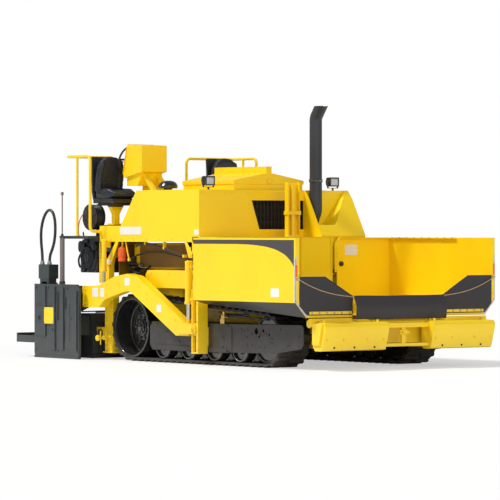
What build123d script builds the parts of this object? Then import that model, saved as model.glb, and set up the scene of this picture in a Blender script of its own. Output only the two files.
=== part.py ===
from build123d import *
from math import atan2, cos, hypot, pi, radians, sin
import os

# Tracked asphalt paver with a folding hopper, rear augers and an extending screed.
# Millimetres. Modelled about the drive wheels' axle: +X forward, +Y left, +Z up,
# Z = 0 on the ground. Every piece is shifted by -middle_x when it is written, so
# that the origin lies on the ground at the middle of the machine's length.

# ---- Overall ----------------------------------------------------------------
front_end = 4450
rear_end = -2500
middle_x = (front_end + rear_end) / 2
seat_gap = 0.3
slide_gap = 5

# ---- Undercarriage ----------------------------------------------------------
wheelbase = 3060
drive_radius = 405
idler_radius = 310
roller_radius = 175
belt_thickness = 28
lug_height = 22
lug_base = 62
lug_tip = 40
lug_pitch = 150
belt_outer = 1300
belt_width = 457
beam_inner = 1030
beam_outer = 1110
wheel_side_gap = 15
roller_columns = [720, 1310, 1900, 2470]
guard_inner = 1318
guard_thickness = 12

# ---- Main frame -------------------------------------------------------------
frame_inner = 770
frame_outer = 800
frame_rear = -600
frame_front = 4100
frame_bottom = 250
sill_top = 620
frame_top = 1600
tunnel_floor = 480
tunnel_roof = 1180
plate = 15
bulkhead_rear = 1520
bulkhead_front = 1900
bulkhead_bottom = 1250

# ---- Hood, platform and station ---------------------------------------------
body_half = 1250
hood_rear = -320
hood_front = 1520
hood_bottom = 1690
hood_top = 2320
skin = 14
slope_foot = 1840
slope_head_x = 60
lid_rear = 210
lid_front = 1400
lid_half = 590
lid_hinge_x = 194
lid_hinge_barrel = 12
lid_hinge_pin = 6
coaming_top = 2400
eaves = 2450
ridge = 2550
ridge_box_top = 2640
ridge_box_half = 45
platform_rear = -830
platform_bottom = 1620
platform_top = 1840
shelf_rear = -1420
shelf_half = 1450
shelf_top = 1700
shelf_thickness = 40
rail_radius = 20
rail_y = 1430
rail_top = 2800
steering_centre = Vector(-650, -840, 2755)
steering_axis = Vector(-0.951, 0, 0.309)
steering_hub = 40
mat_thickness = 8
exhaust_x = 1620
exhaust_z = 1945
exhaust_y = 630
exhaust_radius = 85
exhaust_top = 3460

# ---- Hopper -----------------------------------------------------------------
wing_rear = 1945
wing_front = 4150
wing_outer = 1650
wing_top = 1680
wing_sheet = 12
wing_knee_y = 1480
wing_floor_rear = 815
wing_floor_front = 670
wing_side_rear = 862
wing_side_front = 860
hinge_y = 735
hinge_z = 640
hinge_pin = 12
hinge_barrel = 22
lug_columns = [1980, 3050, 4080]
lug_width = 40
flap_sheet = 8

# ---- Tow points and arms ----------------------------------------------------
arm_inner = 1380
arm_outer = 1500
pin_x = 1750
pin_z = 470
pin_radius = 30
tow_travel = 150
link_inner = 1403
link_outer = 1447
tow_rod_x = 1530
tow_rod_y = 1425
tow_rod_radius = 30
lift_x = -600
lift_y = 1335
lift_rod_radius = 20

# ---- Augers and screed ------------------------------------------------------
auger_x = -800
auger_z = 360
auger_radius = 190
auger_shaft = 40
auger_pitch = 300
auger_inner = 45
auger_outer = 1140
column_inner = 1150
column_outer = 1250
screed_front = -1050
screed_rear = -1500
screed_half = 1220
screed_top = 620
screed_clear = 2
sole = 20
extension_front = -1540
extension_rear = -1880
gate_inner = 1580
gate_outer = 1610
gate_front = -800
gate_rear = -1930
gate_top = 1030
catwalk_rear = rear_end


# ---- Helpers ----------------------------------------------------------------
def block(x, y, z):
    """A box between two limits on each axis."""
    size = (x[1] - x[0], y[1] - y[0], z[1] - z[0])
    middle = ((x[0] + x[1]) / 2, (y[0] + y[1]) / 2, (z[0] + z[1]) / 2)
    return Pos(*middle) * Box(*size)


def side_plate(outline, y):
    """An (x, z) outline extruded between two y."""
    face = make_face(Polyline([(px, y[0], pz) for px, pz in outline], close=True))
    return extrude(face, amount=y[1] - y[0], dir=(0, 1, 0))


def cross_plate(outline, x):
    """A (y, z) outline extruded between two x."""
    face = make_face(Polyline([(x[0], py, pz) for py, pz in outline], close=True))
    return extrude(face, amount=x[1] - x[0], dir=(1, 0, 0))


def rod(start, end, radius):
    """A round bar from one point to another."""
    way = Vector(*end) - Vector(*start)
    return extrude(Plane(origin=start, z_dir=way) * Circle(radius), amount=way.length)


def pipe(points, bend, radius):
    """A round bar along straight runs joined by arcs."""
    path = FilletPolyline(*points, radius=bend)
    return sweep(Plane(origin=path @ 0, z_dir=path % 0) * Circle(radius), path=path)


def wheel(outline, x, z):
    """A (y, radius) outline turned about the axle at x, z."""
    face = make_face(Polyline([(x, py, z + pr) for py, pr in outline], close=True))
    return revolve(face, axis=Axis((x, 0, z), (0, 1, 0)))


def fused(pieces):
    """One solid from pieces that overlap or share a face."""
    whole = pieces[0]
    for piece in pieces[1:]:
        whole = whole + piece
    return whole


def flipped(piece):
    """The same piece on the machine's other side."""
    return mirror(piece, about=Plane.XZ)


def both(piece):
    """The left piece, which was modelled, and its mirror on the right."""
    return [piece, flipped(piece)]


def write(name, pieces):
    """Write a node's solids, moved so that the middle of the length is X = 0."""
    solids = []
    for piece in pieces:
        solids += piece.solids()
    node = Compound(children=[Pos(-middle_x, 0, 0) * solid for solid in solids])
    export_step(node, os.path.join("parts", name + ".step"))


# ---- Undercarriage ----------------------------------------------------------
axle_z = drive_radius + belt_thickness + lug_height
idler_z = idler_radius + belt_thickness + lug_height
roller_z = roller_radius + belt_thickness + lug_height
belt_inner = belt_outer - belt_width
belt_middle = belt_outer - belt_width / 2


def loop_point(distance, out):
    """The belt's outer face at a distance along the loop, and further out."""
    large = drive_radius + belt_thickness
    small = idler_radius + belt_thickness
    tilt = -2 * atan2(axle_z - idler_z, wheelbase)
    front_arc = small * (pi + tilt)
    rear_arc = large * (pi - tilt)
    length = 2 * wheelbase + front_arc + rear_arc
    along = distance % length
    if along < wheelbase:
        return (along, lug_height - out)
    along -= wheelbase
    if along < front_arc:
        turn = -pi / 2 + along / small
        reach = small + out
        return (wheelbase + reach * cos(turn), idler_z + reach * sin(turn))
    along -= front_arc
    if along < wheelbase:
        turn = pi / 2 + tilt
        reach = small + out
        x = wheelbase + reach * cos(turn) + along * cos(turn + pi / 2)
        return (x, idler_z + reach * sin(turn) + along * sin(turn + pi / 2))
    turn = pi / 2 + tilt + (along - wheelbase) / large
    reach = large + out
    return (reach * cos(turn), axle_z + reach * sin(turn))


def loop_length():
    """The length of the belt's outer face."""
    tilt = -2 * atan2(axle_z - idler_z, wheelbase)
    large = drive_radius + belt_thickness
    small = idler_radius + belt_thickness
    return 2 * wheelbase + small * (pi + tilt) + large * (pi - tilt)


def lugged_half(y, phase):
    """Half the belt's width, with a row of lugs in its outline."""
    count = round(loop_length() / lug_pitch)
    step = loop_length() / count
    outline = []
    for index in range(count):
        middle = (index + phase) * step
        outline.append(loop_point(middle - lug_base / 2, 0))
        outline.append(loop_point(middle - lug_tip / 2, lug_height))
        outline.append(loop_point(middle + lug_tip / 2, lug_height))
        outline.append(loop_point(middle + lug_base / 2, 0))
    drive = Pos(0, axle_z) * Circle(drive_radius)
    idler = Pos(wheelbase, idler_z) * Circle(idler_radius)
    hollow = make_hull((drive + idler).edges())
    tread = make_face(Polyline(outline, close=True)) - hollow
    ring = extrude(tread, amount=y[1] - y[0])
    return Pos(0, y[1], 0) * Rot(90, 0, 0) * ring


def track_belt():
    """The left rubber track belt, with two staggered rows of lugs."""
    outer_row = lugged_half((belt_middle, belt_outer), 0.25)
    inner_row = lugged_half((belt_inner, belt_middle), 0.75)
    return outer_row + inner_row


def drive_wheel():
    """The left drive wheel: a rim, a deep dish and a bolted hub."""
    near = belt_inner + wheel_side_gap
    far = belt_outer - wheel_side_gap
    rim = drive_radius - seat_gap
    outline = [
        (near, rim - 30), (near, rim), (far, rim), (far, rim - 26),
        (1060, rim - 38), (1035, 180), (1100, 172), (1100, 120),
        (1125, 108), (1125, 0), (960, 0), (960, 180), (1010, rim - 38),
    ]
    hub_bolts = []
    for index in range(10):
        turn = 2 * pi * index / 10
        spot = (146 * cos(turn), axle_z + 146 * sin(turn))
        hub_bolts.append(rod((spot[0], 1095, spot[1]), (spot[0], 1112, spot[1]), 13))
    return fused([wheel(outline, 0, axle_z)] + hub_bolts)


def twin_wheel(x, z, radius, axle):
    """Two discs on one axle, either side of the track frame's beam."""
    near = belt_inner + wheel_side_gap + 10
    far = belt_outer - wheel_side_gap - 10
    outline = [
        (near, 0), (near, radius - 30), (near + 12, radius), (beam_inner - 20, radius),
        (beam_inner - 20, radius * 0.45), (beam_inner - 8, radius * 0.4), (beam_inner - 8, axle),
        (beam_outer + 8, axle), (beam_outer + 8, radius * 0.4), (beam_outer + 20, radius * 0.45),
        (beam_outer + 20, radius), (far - 12, radius), (far, radius - 30),
        (far - 30, radius - 45), (far - 30, radius * 0.4), (far, radius * 0.35), (far, 0),
    ]
    return wheel(outline, x, z)


def track_frame():
    """The left track frame: a beam, its cross tubes and the final drive."""
    beam = side_plate(
        [(440, 300), (440, 560), (2600, 560), (2780, 450), (3150, 440), (3190, 360),
         (3150, 280), (2780, 270), (2620, 165), (620, 165)],
        (beam_inner, beam_outer),
    )
    for x in roller_columns:
        beam = beam - rod((x, beam_inner - 1, roller_z), (x, beam_outer + 1, roller_z), 30 + seat_gap)
    beam = beam - rod(
        (wheelbase, beam_inner - 1, idler_z), (wheelbase, beam_outer + 1, idler_z), 45 + seat_gap
    )
    tubes = []
    for x in (1000, 2250):
        tubes.append(rod((x, frame_outer, 490), (x, beam_inner + 5, 490), 60))
    brackets = []
    for x in (1000, 1600, 2180, 2500):
        brackets.append(block((x, x + 60), (beam_outer - 5, guard_inner), (440, 530)))
    return fused([beam] + tubes + brackets)


def final_drive():
    """The left final drive between the main frame and the drive wheel."""
    case = rod((0, frame_outer, axle_z), (0, 930, axle_z), 170)
    return case + rod((0, 925, axle_z), (0, 960 - seat_gap, axle_z), 140)


def track_guard():
    """The left track guards: two plates over the rollers, and their front stay."""
    rear_outline = [
        (500, 240), (560, 170), (2290, 170), (2290, 550), (560, 550), (500, 480),
    ]
    front_outline = [
        (2300, 180), (3290, 190), (3850, 265), (3900, 330), (3900, 540), (3860, 570),
        (2300, 550),
    ]
    y = (guard_inner, guard_inner + guard_thickness)
    rear = side_plate(rear_outline, y)
    front = side_plate(front_outline, y)
    for x, z, radius in ((2900, 470, 40), (3050, 480, 22), (2960, 400, 16), (3180, 430, 16)):
        front = front - rod((x, y[0] - 1, z), (x, y[1] + 1, z), radius)
    lip = block((600, 2260), (y[1] - 2, y[1] + 14), (176, 236))
    strap = block((2230, 2370), (y[1] - 2, y[1] + 8), (200, 520))
    stay = block((3560, 3640), (frame_outer, guard_inner + 2), (360, 440))
    return fused([rear, strap, front, lip, stay])


def fender():
    """The left fender over the track: a top plate and an outer skirt."""
    skirt = side_plate(
        [(350, 1000), (350, 1180), (400, 1240), (1860, 1240), (1900, 1200), (1900, 1000)],
        (belt_outer - 12, belt_outer),
    )
    top = block((400, 1860), (frame_outer, belt_outer - 6), (1228, 1240))
    return skirt + top


# ---- Main frame -------------------------------------------------------------
def wing_floor(x):
    """The height of a wing's floor underside at x."""
    share = (x - wing_rear) / (wing_front - wing_rear)
    return wing_floor_rear + share * (wing_floor_front - wing_floor_rear)


def main_frame():
    """Side plates, tunnel floor and roof, cross plates and the wings' hinge pins."""
    outline = [
        (frame_rear, 300), (frame_rear, frame_top), (bulkhead_rear - 20, frame_top),
        (bulkhead_rear - 20, bulkhead_bottom), (bulkhead_front, bulkhead_bottom),
        (bulkhead_front, sill_top), (frame_front, sill_top), (frame_front, 330),
        (3900, frame_bottom), (-300, frame_bottom),
    ]
    sides = both(side_plate(outline, (frame_inner, frame_outer)))
    inside = (-frame_inner, frame_inner)
    plates = [
        block((frame_rear, frame_front), inside, (tunnel_floor, tunnel_floor + plate)),
        block((frame_rear, bulkhead_front), inside, (tunnel_roof, tunnel_roof + plate)),
        block((frame_rear, frame_rear + plate), inside, (tunnel_roof, frame_top)),
        block((frame_front - plate, frame_front), inside, (330, tunnel_floor + plate)),
    ]
    hinges = []
    for x in lug_columns:
        span = (x - lug_width / 2, x + lug_width / 2)
        hinges += both(block(span, (hinge_y - hinge_barrel, frame_inner), (560, hinge_z)))
        hinges += both(rod((span[0], hinge_y, hinge_z), (span[1], hinge_y, hinge_z), hinge_barrel))
    first = lug_columns[0] - lug_width / 2
    last = lug_columns[-1] + lug_width / 2
    hinges += both(rod((first, hinge_y, hinge_z), (last, hinge_y, hinge_z), hinge_pin))
    return fused(sides + plates + hinges)


def conveyor():
    """Two lanes of slats on chains over the tunnel floor."""
    deck_top = 560
    half = 700
    under = tunnel_floor + plate
    deck = block((-560, 4070), (-half, half), (deck_top - plate, deck_top))
    ribs = [block((-560, 4070), (y - 8, y + 8), (under, deck_top - plate)) for y in (-600, 0, 600)]
    chains = [block((-540, 4050), (y - 12, y + 12), (deck_top, deck_top + 22)) for y in (-650, -50, 50, 650)]
    slats = []
    for index in range(15):
        x = -480 + 310 * index
        for side in (-1, 1):
            slats.append(block((x, x + 45), sorted((side * 50, side * 650)), (deck_top, deck_top + 18)))
    return fused([deck] + ribs + chains + slats)


def rear_frame():
    """The cross beam and columns behind the tracks that hang the augers."""
    beam = block((-700, frame_rear), (12 - body_half, body_half - 12), (1400, frame_top))
    columns = []
    for side in (1, -1):
        y = sorted((side * column_inner, side * (body_half - 12)))
        upper = [(-860, 1050), (-860, frame_top), (-520, frame_top), (-620, 1300), (-620, 1050)]
        columns.append(side_plate(upper, y))
        lower_y = sorted((side * column_inner, side * column_outer))
        columns.append(block((-700, -500), lower_y, (100, 1060)))
        foot = sorted((side * column_inner, side * (column_outer + 20)))
        columns.append(block((-720, -480), foot, (90, 110)))
        bearing = block((-900, -690), lower_y, (280, 440))
        shaft = rod((auger_x, side * 1100, auger_z), (auger_x, side * 1300, auger_z), 30 + seat_gap)
        columns.append(bearing - shaft)
    return fused([beam] + columns)


def auger_case():
    """The chain case between the two augers."""
    outline = [
        (-930, 300), (-880, 230), (-720, 230), (-600, 400), (-600, 479), (-600, 1100), (-720, 1100),
    ]
    return side_plate(outline, (-auger_inner + 5, auger_inner - 5))


def auger():
    """The left auger: a shaft with a helical flight."""
    steps = 16
    turns = (auger_outer - auger_inner - 60) / auger_pitch
    count = int(turns * steps)
    sections = []
    for index in range(count + 1):
        turn = 2 * pi * index / steps
        y = auger_inner + 30 + auger_pitch * index / steps
        corners = []
        for reach, shift in ((auger_shaft - 6, -9), (auger_radius, -7), (auger_radius, 7), (auger_shaft - 6, 9)):
            corners.append((auger_x + reach * cos(turn), y + shift, auger_z + reach * sin(turn)))
        sections.append(make_face(Polyline(corners, close=True)))
    flight = loft(sections, ruled=True)
    shaft = rod((auger_x, auger_inner, auger_z), (auger_x, column_inner - 8, auger_z), auger_shaft)
    journal = rod((auger_x, column_inner - 10, auger_z), (auger_x, column_outer + 30, auger_z), 30)
    cap = rod((auger_x, column_outer + 6, auger_z), (auger_x, column_outer + 26, auger_z), 55)
    return fused([shaft, flight, journal, cap])


# ---- Hood and engine --------------------------------------------------------
def hood():
    """The engine hood's shell, with its grille and lid openings and a coaming."""
    outline = [
        (hood_rear, hood_bottom), (hood_rear, slope_foot), (slope_head_x, hood_top),
        (hood_front, hood_top), (hood_front, hood_bottom),
    ]
    inside = [
        (hood_rear + skin, hood_bottom - 1), (hood_rear + skin, slope_foot - 5),
        (slope_head_x + 6, hood_top - skin), (hood_front - skin, hood_top - skin),
        (hood_front - skin, hood_bottom - 1),
    ]
    shell = side_plate(outline, (-body_half, body_half))
    shell = shell - side_plate(inside, (-body_half + skin, body_half - skin))
    lid_hole = ((lid_rear + 30, lid_front - 30), (-lid_half + 30, lid_half - 30))
    coaming = block((lid_rear + 12, lid_front - 12), (-lid_half + 12, lid_half - 12), (hood_top - 2, coaming_top))
    shell = shell + coaming - block(*lid_hole, (hood_top - skin - 1, coaming_top + 1))
    mouth = cross_plate(grille_outline(0), (hood_front - skin - 1, hood_front + 1))
    pipe_hole = rod((hood_front - skin - 1, exhaust_y, exhaust_z), (hood_front + 1, exhaust_y, exhaust_z), exhaust_radius + 6)
    knuckles = []
    for side in (1, -1):
        y = sorted((side * 300, side * 360))
        post = (lid_hinge_x - lid_hinge_barrel, lid_hinge_x + lid_hinge_barrel)
        knuckles.append(block(post, y, (hood_top - 2, coaming_top)))
        knuckles.append(rod((lid_hinge_x, y[0], coaming_top), (lid_hinge_x, y[1], coaming_top), lid_hinge_barrel))
        ends = (side * 310, side * 420)
        knuckles.append(rod((lid_hinge_x, min(ends), coaming_top), (lid_hinge_x, max(ends), coaming_top), lid_hinge_pin))
    return fused([shell - mouth - pipe_hole] + knuckles)


def grille_outline(inset):
    """The grille opening's (y, z) outline, drawn in by an inset."""
    return [
        (-380 + inset, 2180 - inset), (-250 + inset, 1790 + inset),
        (500 - inset, 1790 + inset), (500 - inset, 2180 - inset),
    ]


def grille():
    """A frame behind the grille opening, with upright slats and rails."""
    x = (hood_front - skin - 30, hood_front - skin)
    frame = cross_plate(grille_outline(-20), x) - cross_plate(grille_outline(6), (x[0] - 1, x[1] + 1))
    slats = []
    for index in range(14):
        y = -340 + 60 * index
        bottom = 1780 if y > -250 else 1790 - (y + 250) * 3
        slats.append(block((x[0], x[1] - 10), (y, y + 12), (bottom, 2185)))
    rails = []
    for z, low in ((1880, -285), (1990, -322), (2090, -355)):
        rails.append(block((x[0] + 4, x[1] - 14), (low, 506), (z, z + 12)))
    return fused([frame] + slats + rails)


def nose_cover():
    """The sloping cover left of the grille, with the exhaust's recess."""
    outline = [
        (bulkhead_rear + seat_gap, hood_bottom), (1925, hood_bottom), (1925, hood_bottom + 20),
        (1635, 2205), (1540, hood_top), (bulkhead_rear + seat_gap, hood_top),
    ]
    cover = side_plate(outline, (510, body_half))
    near_edge = side_plate(outline, (500, 512))
    recess = [(511, hood_top + 1), (1180, hood_top + 1), (800, 1850), (511, 1850)]
    pocket = cross_plate(recess, (bulkhead_rear + 12, 2000))
    pipe_hole = rod((1500, exhaust_y, exhaust_z), (1560, exhaust_y, exhaust_z), exhaust_radius + 6)
    bend_room = block((1500, 1560), (exhaust_y - 80, exhaust_y + 80), (exhaust_z, exhaust_z + 120))
    return (near_edge + cover) - pocket - pipe_hole - bend_room


def exhaust():
    """The exhaust: an elbow out of the hood, a stack and a slash-cut tip."""
    stack = pipe(
        [(1400, exhaust_y, exhaust_z), (exhaust_x, exhaust_y, exhaust_z), (exhaust_x, exhaust_y, 3300),
         (exhaust_x + 150, exhaust_y, 3500)],
        118, exhaust_radius,
    )
    bore = pipe(
        [(exhaust_x, exhaust_y, 2800), (exhaust_x, exhaust_y, 3300), (exhaust_x + 150, exhaust_y, 3500)],
        118, exhaust_radius - 6,
    )
    cut = block((1400, 2000), (exhaust_y - 200, exhaust_y + 200), (exhaust_top, exhaust_top + 200))
    clamp = rod((exhaust_x, exhaust_y, 2430), (exhaust_x, exhaust_y, 2470), exhaust_radius + 8)
    return stack + clamp - bore - cut


def engine_lid():
    """The gabled lid over the engine, with a ridge box and a front latch."""
    low = coaming_top + seat_gap
    end = [
        (-lid_half, low), (-lid_half, eaves), (-ridge_box_half, ridge), (ridge_box_half, ridge),
        (lid_half, eaves), (lid_half, low),
    ]
    inner = [
        (-lid_half + 12, low - 1), (-lid_half + 12, eaves - 8), (0, ridge - 14),
        (lid_half - 12, eaves - 8), (lid_half - 12, low - 1),
    ]
    lid = cross_plate(end, (lid_rear, lid_front))
    lid = lid - cross_plate(inner, (lid_rear + 12, lid_front - 12))
    ridge_box = block((lid_rear, lid_front), (-ridge_box_half, ridge_box_half), (ridge - 2, ridge_box_top))
    latch = block((lid_front - 2, lid_front + 14), (-35, 35), (low + 4, eaves))
    barrels = []
    for side in (1, -1):
        y = sorted((side * (360 + seat_gap), side * 420))
        barrels.append(rod((lid_hinge_x, y[0], coaming_top), (lid_hinge_x, y[1], coaming_top), lid_hinge_barrel))
        barrels.append(block((lid_hinge_x, lid_rear + 2), y, (coaming_top + 4, coaming_top + lid_hinge_barrel)))
    bore = rod((lid_hinge_x, -421, coaming_top), (lid_hinge_x, 421, coaming_top), lid_hinge_pin + seat_gap)
    return fused([lid, ridge_box, latch] + barrels) - bore


def engine_block():
    """The engine, as one plain block on two bearers."""
    block_body = block((350, 1350), (-420, 420), (1260, 2220))
    bearers = [block((400, 1300), (y - 30, y + 30), (tunnel_roof + plate, 1262)) for y in (-350, 350)]
    return fused([block_body] + bearers)


def bulkhead():
    """The tank across the front of the hood, above the tunnel's mouth."""
    low = [
        (bulkhead_rear - 20 + seat_gap, bulkhead_bottom + seat_gap),
        (bulkhead_rear - 20 + seat_gap, hood_bottom - 8), (bulkhead_front, hood_bottom - 8),
        (bulkhead_front, bulkhead_bottom + seat_gap),
    ]
    tank = side_plate(low, (-body_half + 10, body_half - 10))
    deck = block((bulkhead_rear - 18, bulkhead_front + 20), (-body_half, body_half), (hood_bottom - 10, hood_bottom - seat_gap))
    return tank + deck


def hopper_back():
    """The fixed wall over the tunnel's mouth, between the two wings."""
    wall = block((bulkhead_front, bulkhead_front + plate), (-680, 680), (1000, hood_bottom - 12))
    lips = both(block((bulkhead_front + 2, bulkhead_front + 28), (650, 680), (1000, hood_bottom - 12)))
    apron = side_plate(
        [(bulkhead_front + 2, 1300), (bulkhead_front + 28, 1120), (bulkhead_front + 28, 1000), (bulkhead_front + 2, 1000)],
        (-660, 660),
    )
    return fused([wall, apron] + lips)


def post():
    """The upright channel before the hood that holds the flow gate's cylinder."""
    x = (1822, 1896)
    channel = block(x, (-50, 150), (hood_bottom, 2420)) - block((x[0] + 12, x[1] + 1), (-38, 138), (hood_bottom - 1, 2500))
    cylinder = rod((1864, 50, hood_bottom), (1864, 50, 2380), 28)
    band = block((x[0] - 8, x[1] + 8), (-62, 162), (1985, 2035))
    foot = block((x[0], x[1]), (-50, 150), (hood_bottom, hood_bottom + 20))
    return fused([channel, band, foot, cylinder])


def side_tanks():
    """The tanks beside the main frame, under the hood's overhang."""
    outline = [(-250, 1300), (-330, 1420), (-330, 1585), (1490, 1585), (1490, 1262), (-180, 1262)]
    return both(side_plate(outline, (frame_outer, 1010)))


# ---- Platform and station ---------------------------------------------------
def platform():
    """The operator's deck with its side panels, and the step ledge round the hood."""
    deck = block((platform_rear, hood_rear), (-body_half, body_half), (platform_top - 20, platform_top))
    sides = []
    for side in (1, -1):
        y = sorted((side * (body_half - 12), side * body_half))
        panel = [
            (platform_rear, 1300), (platform_rear, platform_top), (hood_rear, platform_top),
            (hood_rear, hood_bottom), (hood_front - 160, hood_bottom), (hood_front - 160, 1410),
            (hood_front - 240, 1410), (hood_front - 330, platform_bottom), (-380, platform_bottom),
            (-560, 1300),
        ]
        sides.append(side_plate(panel, y))
    floor = block((platform_rear, hood_rear), (-body_half, body_half), (platform_bottom, platform_bottom + 12))
    ledges = both(block((hood_rear - 2, hood_front - 160), (frame_outer, body_half), (platform_bottom, platform_bottom + 12)))
    rear = block((platform_rear, platform_rear + 12), (-body_half, body_half), (platform_bottom, platform_top))
    ribs = [block((platform_rear, hood_rear), (y - 6, y + 6), (platform_bottom, platform_top)) for y in (-500, 500)]
    return fused([deck, floor, rear] + ledges + sides + ribs)


def floor_mat():
    """The dark mat on the operator's deck."""
    mat = block((platform_rear + 20, hood_rear - 60), (50 - body_half, body_half - 50), (platform_top, platform_top + mat_thickness))
    return mat


def rear_shelf():
    """The rear step behind the platform, cut with drain slots."""
    shelf = block((shelf_rear, platform_rear), (-shelf_half, shelf_half), (shelf_top - shelf_thickness, shelf_top))
    slots = []
    for index in range(6):
        x = shelf_rear + 60 + 85 * index
        for y in (-1000, -500, 0, 500, 1000):
            slots.append(block((x, x + 30), (y - 190, y + 190), (shelf_top - 100, shelf_top + 1)))
    for slot in slots:
        shelf = shelf - slot
    return shelf


def generator():
    """The generator hung under the rear shelf, with cooling ribs."""
    top = shelf_top - shelf_thickness
    case = block((-1290, -880), (-1190, -420), (1320, top))
    ribs = []
    for index in range(6):
        y = -1150 + 120 * index
        ribs.append(block((-1310, -1285), (y, y + 40), (1340, top - 40)))
    return fused([case] + ribs)


def handrails():
    """The tube rails round the platform's rear corners, one for each side."""
    side = pipe(
        [(-800, body_half, 1760), (-800, rail_y, 1760), (-800, rail_y, rail_top), (-1390, rail_y, rail_top),
         (-1390, 620, rail_top), (-1390, 620, shelf_top)],
        70, rail_radius,
    )
    prop = rod((-1120, rail_y, shelf_top), (-1120, rail_y, rail_top - 4), rail_radius - 2)
    return both(fused([side, prop]))


def seats():
    """Seat pedestals with their suspension boxes and pans, one for each seat."""
    frames = []
    pads = []
    for y in (-1100, 860):
        foot = block((-740, -580), (y - 90, y + 90), (platform_top + mat_thickness + seat_gap, platform_top + 30))
        column = block((-700, -620), (y - 40, y + 40), (platform_top + 20, 2080))
        flare = cross_plate([(y - 40, 2000), (y - 110, 2120), (y + 110, 2120), (y + 40, 2000)], (-700, -620))
        plate_top = block((-860, -480), (y - 160, y + 160), (2118, 2140))
        pan = block((-900, -440), (y - 210, y + 210), (2150, 2200))
        slides = [block((-880, -460), (y + s - 15, y + s + 15), (2138, 2152)) for s in (-130, 130)]
        back_plate = side_plate([(-930, 2170), (-900, 2170), (-960, 2780), (-990, 2780)], (y - 190, y + 190))
        heel = block((-930, -880), (y - 190, y + 190), (2160, 2195))
        frames.append(fused([foot, column, flare, plate_top] + slides + [pan, heel, back_plate]))
        cushion = block((-860, -420), (y - 250, y + 250), (2200 + seat_gap, 2350))
        cushion = chamfer(cushion.edges().filter_by(Axis.Z), 60)
        pads.append(cushion)
        back = side_plate([(-895, 2300), (-800, 2360), (-860, 2840), (-955, 2840)], (y - 250, y + 250))
        pads.append(chamfer(back.faces().sort_by(Axis.Z)[-1].edges().filter_by(Axis.X), 80))
    return frames, pads


def console():
    """The operator's console box on its two slanted legs and a post."""
    y = (-1050, -630)
    head = side_plate([(-560, 2560), (-470, 2930), (-430, 2960), (-100, 2940), (-100, 2580), (-520, 2500)], y)
    lower = side_plate(
        [(-500, 2390), (-500, 2560), (-300, 2640), (-150, 2640), (-190, 2470), (-250, 2390)],
        (y[0] + 30, y[1] - 30),
    )
    legs = []
    for leg_y in (-950, -730):
        leg = [(-230, 2560), (-160, 2560), (90, hood_top + seat_gap), (20, hood_top + seat_gap)]
        legs.append(side_plate(leg, (leg_y - 28, leg_y + 28)))
    box = block((-440, -240), (-800, -560), (2300, 2400))
    column = rod((-345, -600, platform_top + seat_gap), (-345, -600, 2305), 18)
    hub_end = steering_centre + steering_axis * -(steering_hub / 2 + seat_gap)
    hub = rod(hub_end + steering_axis * -150, hub_end, 22)
    return fused([head, lower, box, column, hub] + legs)


def steering_wheel():
    """The steering wheel on the console's rear face."""
    tilt = Location(Plane(origin=steering_centre, z_dir=steering_axis))
    rim = tilt * Torus(205, 14)
    hub = tilt * Cylinder(38, steering_hub)
    spokes = []
    for index in range(3):
        spokes.append(tilt * Rot(0, 0, 90 + 120 * index) * Pos(105, 0, 0) * Box(190, 26, 10))
    return fused([rim, hub] + spokes)


def hose_reel():
    """The wash-down hose reel beside the rear shelf."""
    y = -1150
    reel = rod((-1120, y - 60, 1960), (-1120, y + 60, 1960), 150)
    flanges = [rod((-1120, y + s - 6, 1960), (-1120, y + s + 6, 1960), 180) for s in (-66, 66)]
    stand = side_plate([(-1180, shelf_top), (-1060, shelf_top), (-1095, 1990), (-1145, 1990)], (y + 72, y + 90))
    return fused([reel, stand] + flanges)


def intake():
    """The air intake's cap on its stem."""
    stem = rod((450, -1000, hood_top), (450, -1000, 2350), 60)
    cap = rod((450, -1000, 2345), (450, -1000, 2400), 130)
    dome = Pos(450, -1000, 2430) * Cone(130, 90, 62)
    return fused([stem, cap, dome])


def lamps():
    """The work lamps on their brackets at the hood's front corners."""
    solids = []
    for y in (-1050, 1050):
        stem = block((1430, 1470), (y - 20, y + 20), (hood_top, 2360))
        yoke = block((1430, 1470), (y - 60, y + 60), (2352, 2364))
        head = side_plate([(1400, 2362), (1400, 2490), (1430, 2510), (1510, 2500), (1510, 2362)], (y - 80, y + 80))
        solids.append(fused([stem, yoke, head]))
    return solids


# ---- Hopper -----------------------------------------------------------------
def wing_section(x, floor_z, side_z):
    """A wing's floor, knee and outer wall as one (y, z) face at x."""
    t = wing_sheet
    points = [
        (hinge_y, floor_z), (wing_knee_y, floor_z), (wing_outer, side_z), (wing_outer, wing_top),
        (wing_outer - t, wing_top), (wing_outer - t, side_z + t / 2), (wing_knee_y - t / 2, floor_z + t),
        (hinge_y, floor_z + t),
    ]
    return make_face(Polyline([(x, py, pz) for py, pz in points], close=True))


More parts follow.
